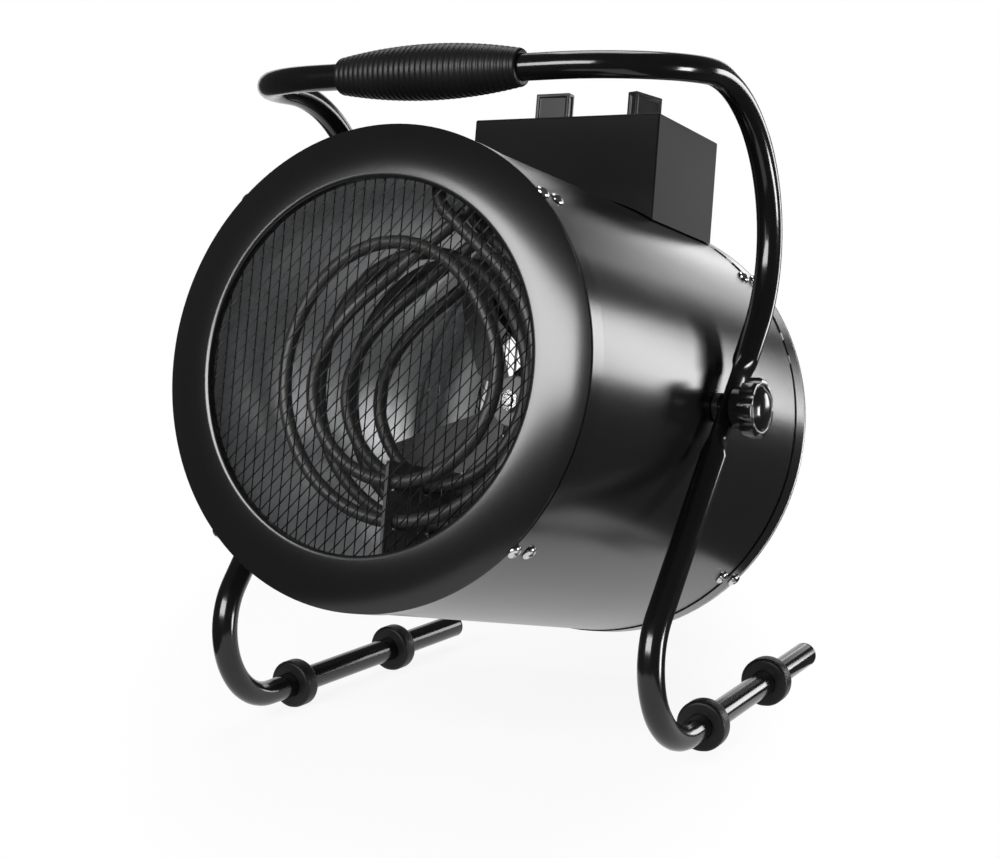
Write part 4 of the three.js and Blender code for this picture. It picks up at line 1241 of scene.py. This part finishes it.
motor = turned("motor", motor_outline())
hand_over(settle(motor, in_drum), "motor_body")
tip, tail = FAN_CENTRE - 18, MOTOR_FRONT + 30
shaft_outline = [(0, tip), (SHAFT - 0.6, tip), (SHAFT, tip + 0.6), (SHAFT, tail), (0, tail)]
shaft = turned("shaft", shaft_outline, steps=32)
hand_over(settle(shaft, in_drum), "fan_shaft")
print("motor:", len(motor.data.polygons), "faces, and its shaft")

# %% [markdown]
# The gland on the back of the box is a turned bush with a flange and a rounded nose. The
# photograph doesn't show it, so its form is that of a usual cable inlet.

# %% Cable gland
GLAND_HEIGHT = CASING + 0.44 * BOX_HEIGHT
wall = BOX_FRONT + BOX_LENGTH
gland = turned(
    "gland",
    [
        (4.5, wall - 7),
        (7.6, wall - 7),
        (7.6, wall + AIR),
        (10.6, wall + AIR),
        (11, wall + 0.7),
        (11, wall + 5.6),
        (10.4, wall + 6.2),
        (8.2, wall + 6.6),
        *arc((6.2, wall + 10), 2, 0, 90, 4),
        (4.5, wall + 12),
        (4.5, wall - 7),
    ],
    steps=48,
)
hand_over(settle(gland, in_drum @ at(0, 0, GLAND_HEIGHT)), "cable_gland")
print("gland on the back of the box")

# %% [markdown]
# A product photograph on white has a paper roll under and behind the object, and glossy
# black shows it as well as the lamps. Two ways would do: a bent sheet of paper, or a flat
# floor and a white world. The second is used. The floor is a lit surface that catches the
# heater's shadow, and it turns into plain white towards its edges, where the world behind
# is white too. Mirror and glass rays find the same white, but only on the floor and where
# the paper would stand behind the heater, because the rest of the studio is dark.

# %% Floor
FLOOR_SIZE = (0.52, 1.7)
FLOOR_SHIFT = (-0.05, 0.25, 0)
FLOOR_WHITE = 0.9
FADE_FROM, FADE_TO = 0.62, 0.98
PAPER_WHITE = PAPER_ROUGHNESS = 0.8
VIEW_TURN = 29.9


def floor_paper():
    """White to the eye and in gloss, most of all at the edges, and lit near the heater."""
    material = bpy.data.materials.new("floor_paper")
    material.use_nodes = True
    nodes, links = material.node_tree.nodes, material.node_tree.links
    paper = nodes["Principled BSDF"]
    paper.inputs["Base Color"].default_value = grey(PAPER_WHITE)
    paper.inputs["Roughness"].default_value = PAPER_ROUGHNESS
    glow = nodes.new("ShaderNodeEmission")
    path = nodes.new("ShaderNodeLightPath").outputs
    clear = maths(nodes, links, "MAXIMUM", path["Is Camera Ray"], path["Is Glossy Ray"])
    clear = maths(nodes, links, "MAXIMUM", clear, path["Is Transmission Ray"])
    place = nodes.new("ShaderNodeTexCoord")
    shape = nodes.new("ShaderNodeVectorMath")
    shape.operation = "DIVIDE"
    shape.inputs[1].default_value = (FLOOR_SIZE[0] / 2, FLOOR_SIZE[1] / 2, 1)
    links.new(place.outputs["Object"], shape.inputs[0])
    far = nodes.new("ShaderNodeVectorMath")
    far.operation = "LENGTH"
    links.new(shape.outputs["Vector"], far.inputs[0])
    white = nodes.new("ShaderNodeMapRange")
    white.interpolation_type = "SMOOTHSTEP"
    white.inputs["From Min"].default_value = FADE_FROM
    white.inputs["From Max"].default_value = FADE_TO
    white.inputs["To Min"].default_value = FLOOR_WHITE
    links.new(far.outputs["Value"], white.inputs["Value"])
    share = maths(nodes, links, "MULTIPLY", clear, white.outputs["Result"])
    mix = nodes.new("ShaderNodeMixShader")
    links.new(share, mix.inputs[0])
    links.new(paper.outputs[0], mix.inputs[1])
    links.new(glow.outputs[0], mix.inputs[2])
    links.new(mix.outputs[0], nodes["Material Output"].inputs["Surface"])
    return material


def paper_floor():
    """The floor, turned to face the camera."""
    select_nothing()
    bpy.ops.mesh.primitive_plane_add(size=1)
    floor = bpy.context.object
    floor.name = "floor"
    bpy.ops.object.mode_set(mode="EDIT")
    bpy.ops.mesh.select_all(action="SELECT")
    bpy.ops.transform.resize(value=(*FLOOR_SIZE, 1))
    bpy.ops.object.mode_set(mode="OBJECT")
    floor.matrix_world = turn(VIEW_TURN, "Z") @ Matrix.Translation(FLOOR_SHIFT)
    floor.data.materials.append(floor_paper())


paper_floor()
print("floor of", FLOOR_SIZE, "metres")

# %% World
WORLD_LIGHT = 0.07
BACKDROP_RISE = 0.05
BACKDROP_EDGE = math.cos(math.radians(26))


def world_light(strength):
    """A dim even light, white to the eye, and white in gloss behind the heater."""
    world = bpy.data.worlds.new("studio")
    bpy.context.scene.world = world
    world.use_nodes = True
    nodes, links = world.node_tree.nodes, world.node_tree.links
    dim = nodes["Background"]
    dim.inputs["Color"].default_value = (1, 1, 1, 1)
    dim.inputs["Strength"].default_value = strength
    white = nodes.new("ShaderNodeBackground")
    white.inputs["Color"].default_value = (1, 1, 1, 1)
    white.inputs["Strength"].default_value = 1.0
    path = nodes.new("ShaderNodeLightPath").outputs
    place = nodes.new("ShaderNodeTexCoord")
    facing = nodes.new("ShaderNodeVectorMath")
    facing.operation = "DOT_PRODUCT"
    facing.inputs[1].default_value = (*CAMERA_LOOKS[:2], BACKDROP_RISE)
    links.new(place.outputs["Generated"], facing.inputs[0])
    behind = maths(nodes, links, "GREATER_THAN", facing.outputs["Value"], BACKDROP_EDGE)
    gloss, glass = path["Is Glossy Ray"], path["Is Transmission Ray"]
    clear = maths(nodes, links, "MAXIMUM", gloss, glass)
    clear = maths(nodes, links, "MULTIPLY", clear, behind)
    clear = maths(nodes, links, "MAXIMUM", clear, path["Is Camera Ray"])
    mix = nodes.new("ShaderNodeMixShader")
    links.new(clear, mix.inputs[0])
    links.new(dim.outputs[0], mix.inputs[1])
    links.new(white.outputs[0], mix.inputs[2])
    links.new(mix.outputs[0], nodes["World Output"].inputs["Surface"])


world_light(WORLD_LIGHT)
bpy.context.scene.view_settings.view_transform = "Standard"
print("world light", WORLD_LIGHT)

# %% [markdown]
# Black paint is seen by what it mirrors, so each streak on the heater is the picture of a
# lamp. Point lamps would leave dots, so soft boxes are used, as in a studio. The widest
# stands in front and gives the ring and the guard their broad sheen. Two stand at the back,
# one of them to the right, for the streaks along the casing. One stands low at the right,
# for the inside that is seen through the guard. The last hangs over the back, for the top
# of the casing and the box.

# %% Lamps
def soft_box(name, azimuth, elevation, distance, size, brightness):
    """A rectangular lamp around the drum, in degrees and metres, unseen by the camera."""
    data = bpy.data.lights.new(name, "AREA")
    data.shape = "RECTANGLE"
    data.size, data.size_y = wide, tall = size
    data.energy = brightness * math.pi * wide * tall
    lamp = bpy.data.objects.new(name, data)
    bpy.context.scene.collection.objects.link(lamp)
    around, up = math.radians(azimuth), math.radians(elevation)
    flat = math.cos(up)
    way = Vector((math.cos(around) * flat, math.sin(around) * flat, math.sin(up)))
    lamp.location = pivot + way * distance
    lamp.rotation_mode = "QUATERNION"
    lamp.rotation_quaternion = (-way).to_track_quat("-Z", "Y")
    lamp.visible_camera = False


soft_box("front_box", -94.5, 24, 2.0, (1.6, 0.68), 16.5)
soft_box("side_box", 61, 2, 2.0, (0.48, 0.56), 8)
soft_box("back_box", 91, 12, 2.0, (0.75, 0.35), 2)
soft_box("rear_box", 12, -8, 1.6, (0.4, 0.5), 26)
soft_box("top_box", 110, 66, 1.8, (0.9, 0.9), 4.5)
print(len(bpy.data.lights), "soft boxes")
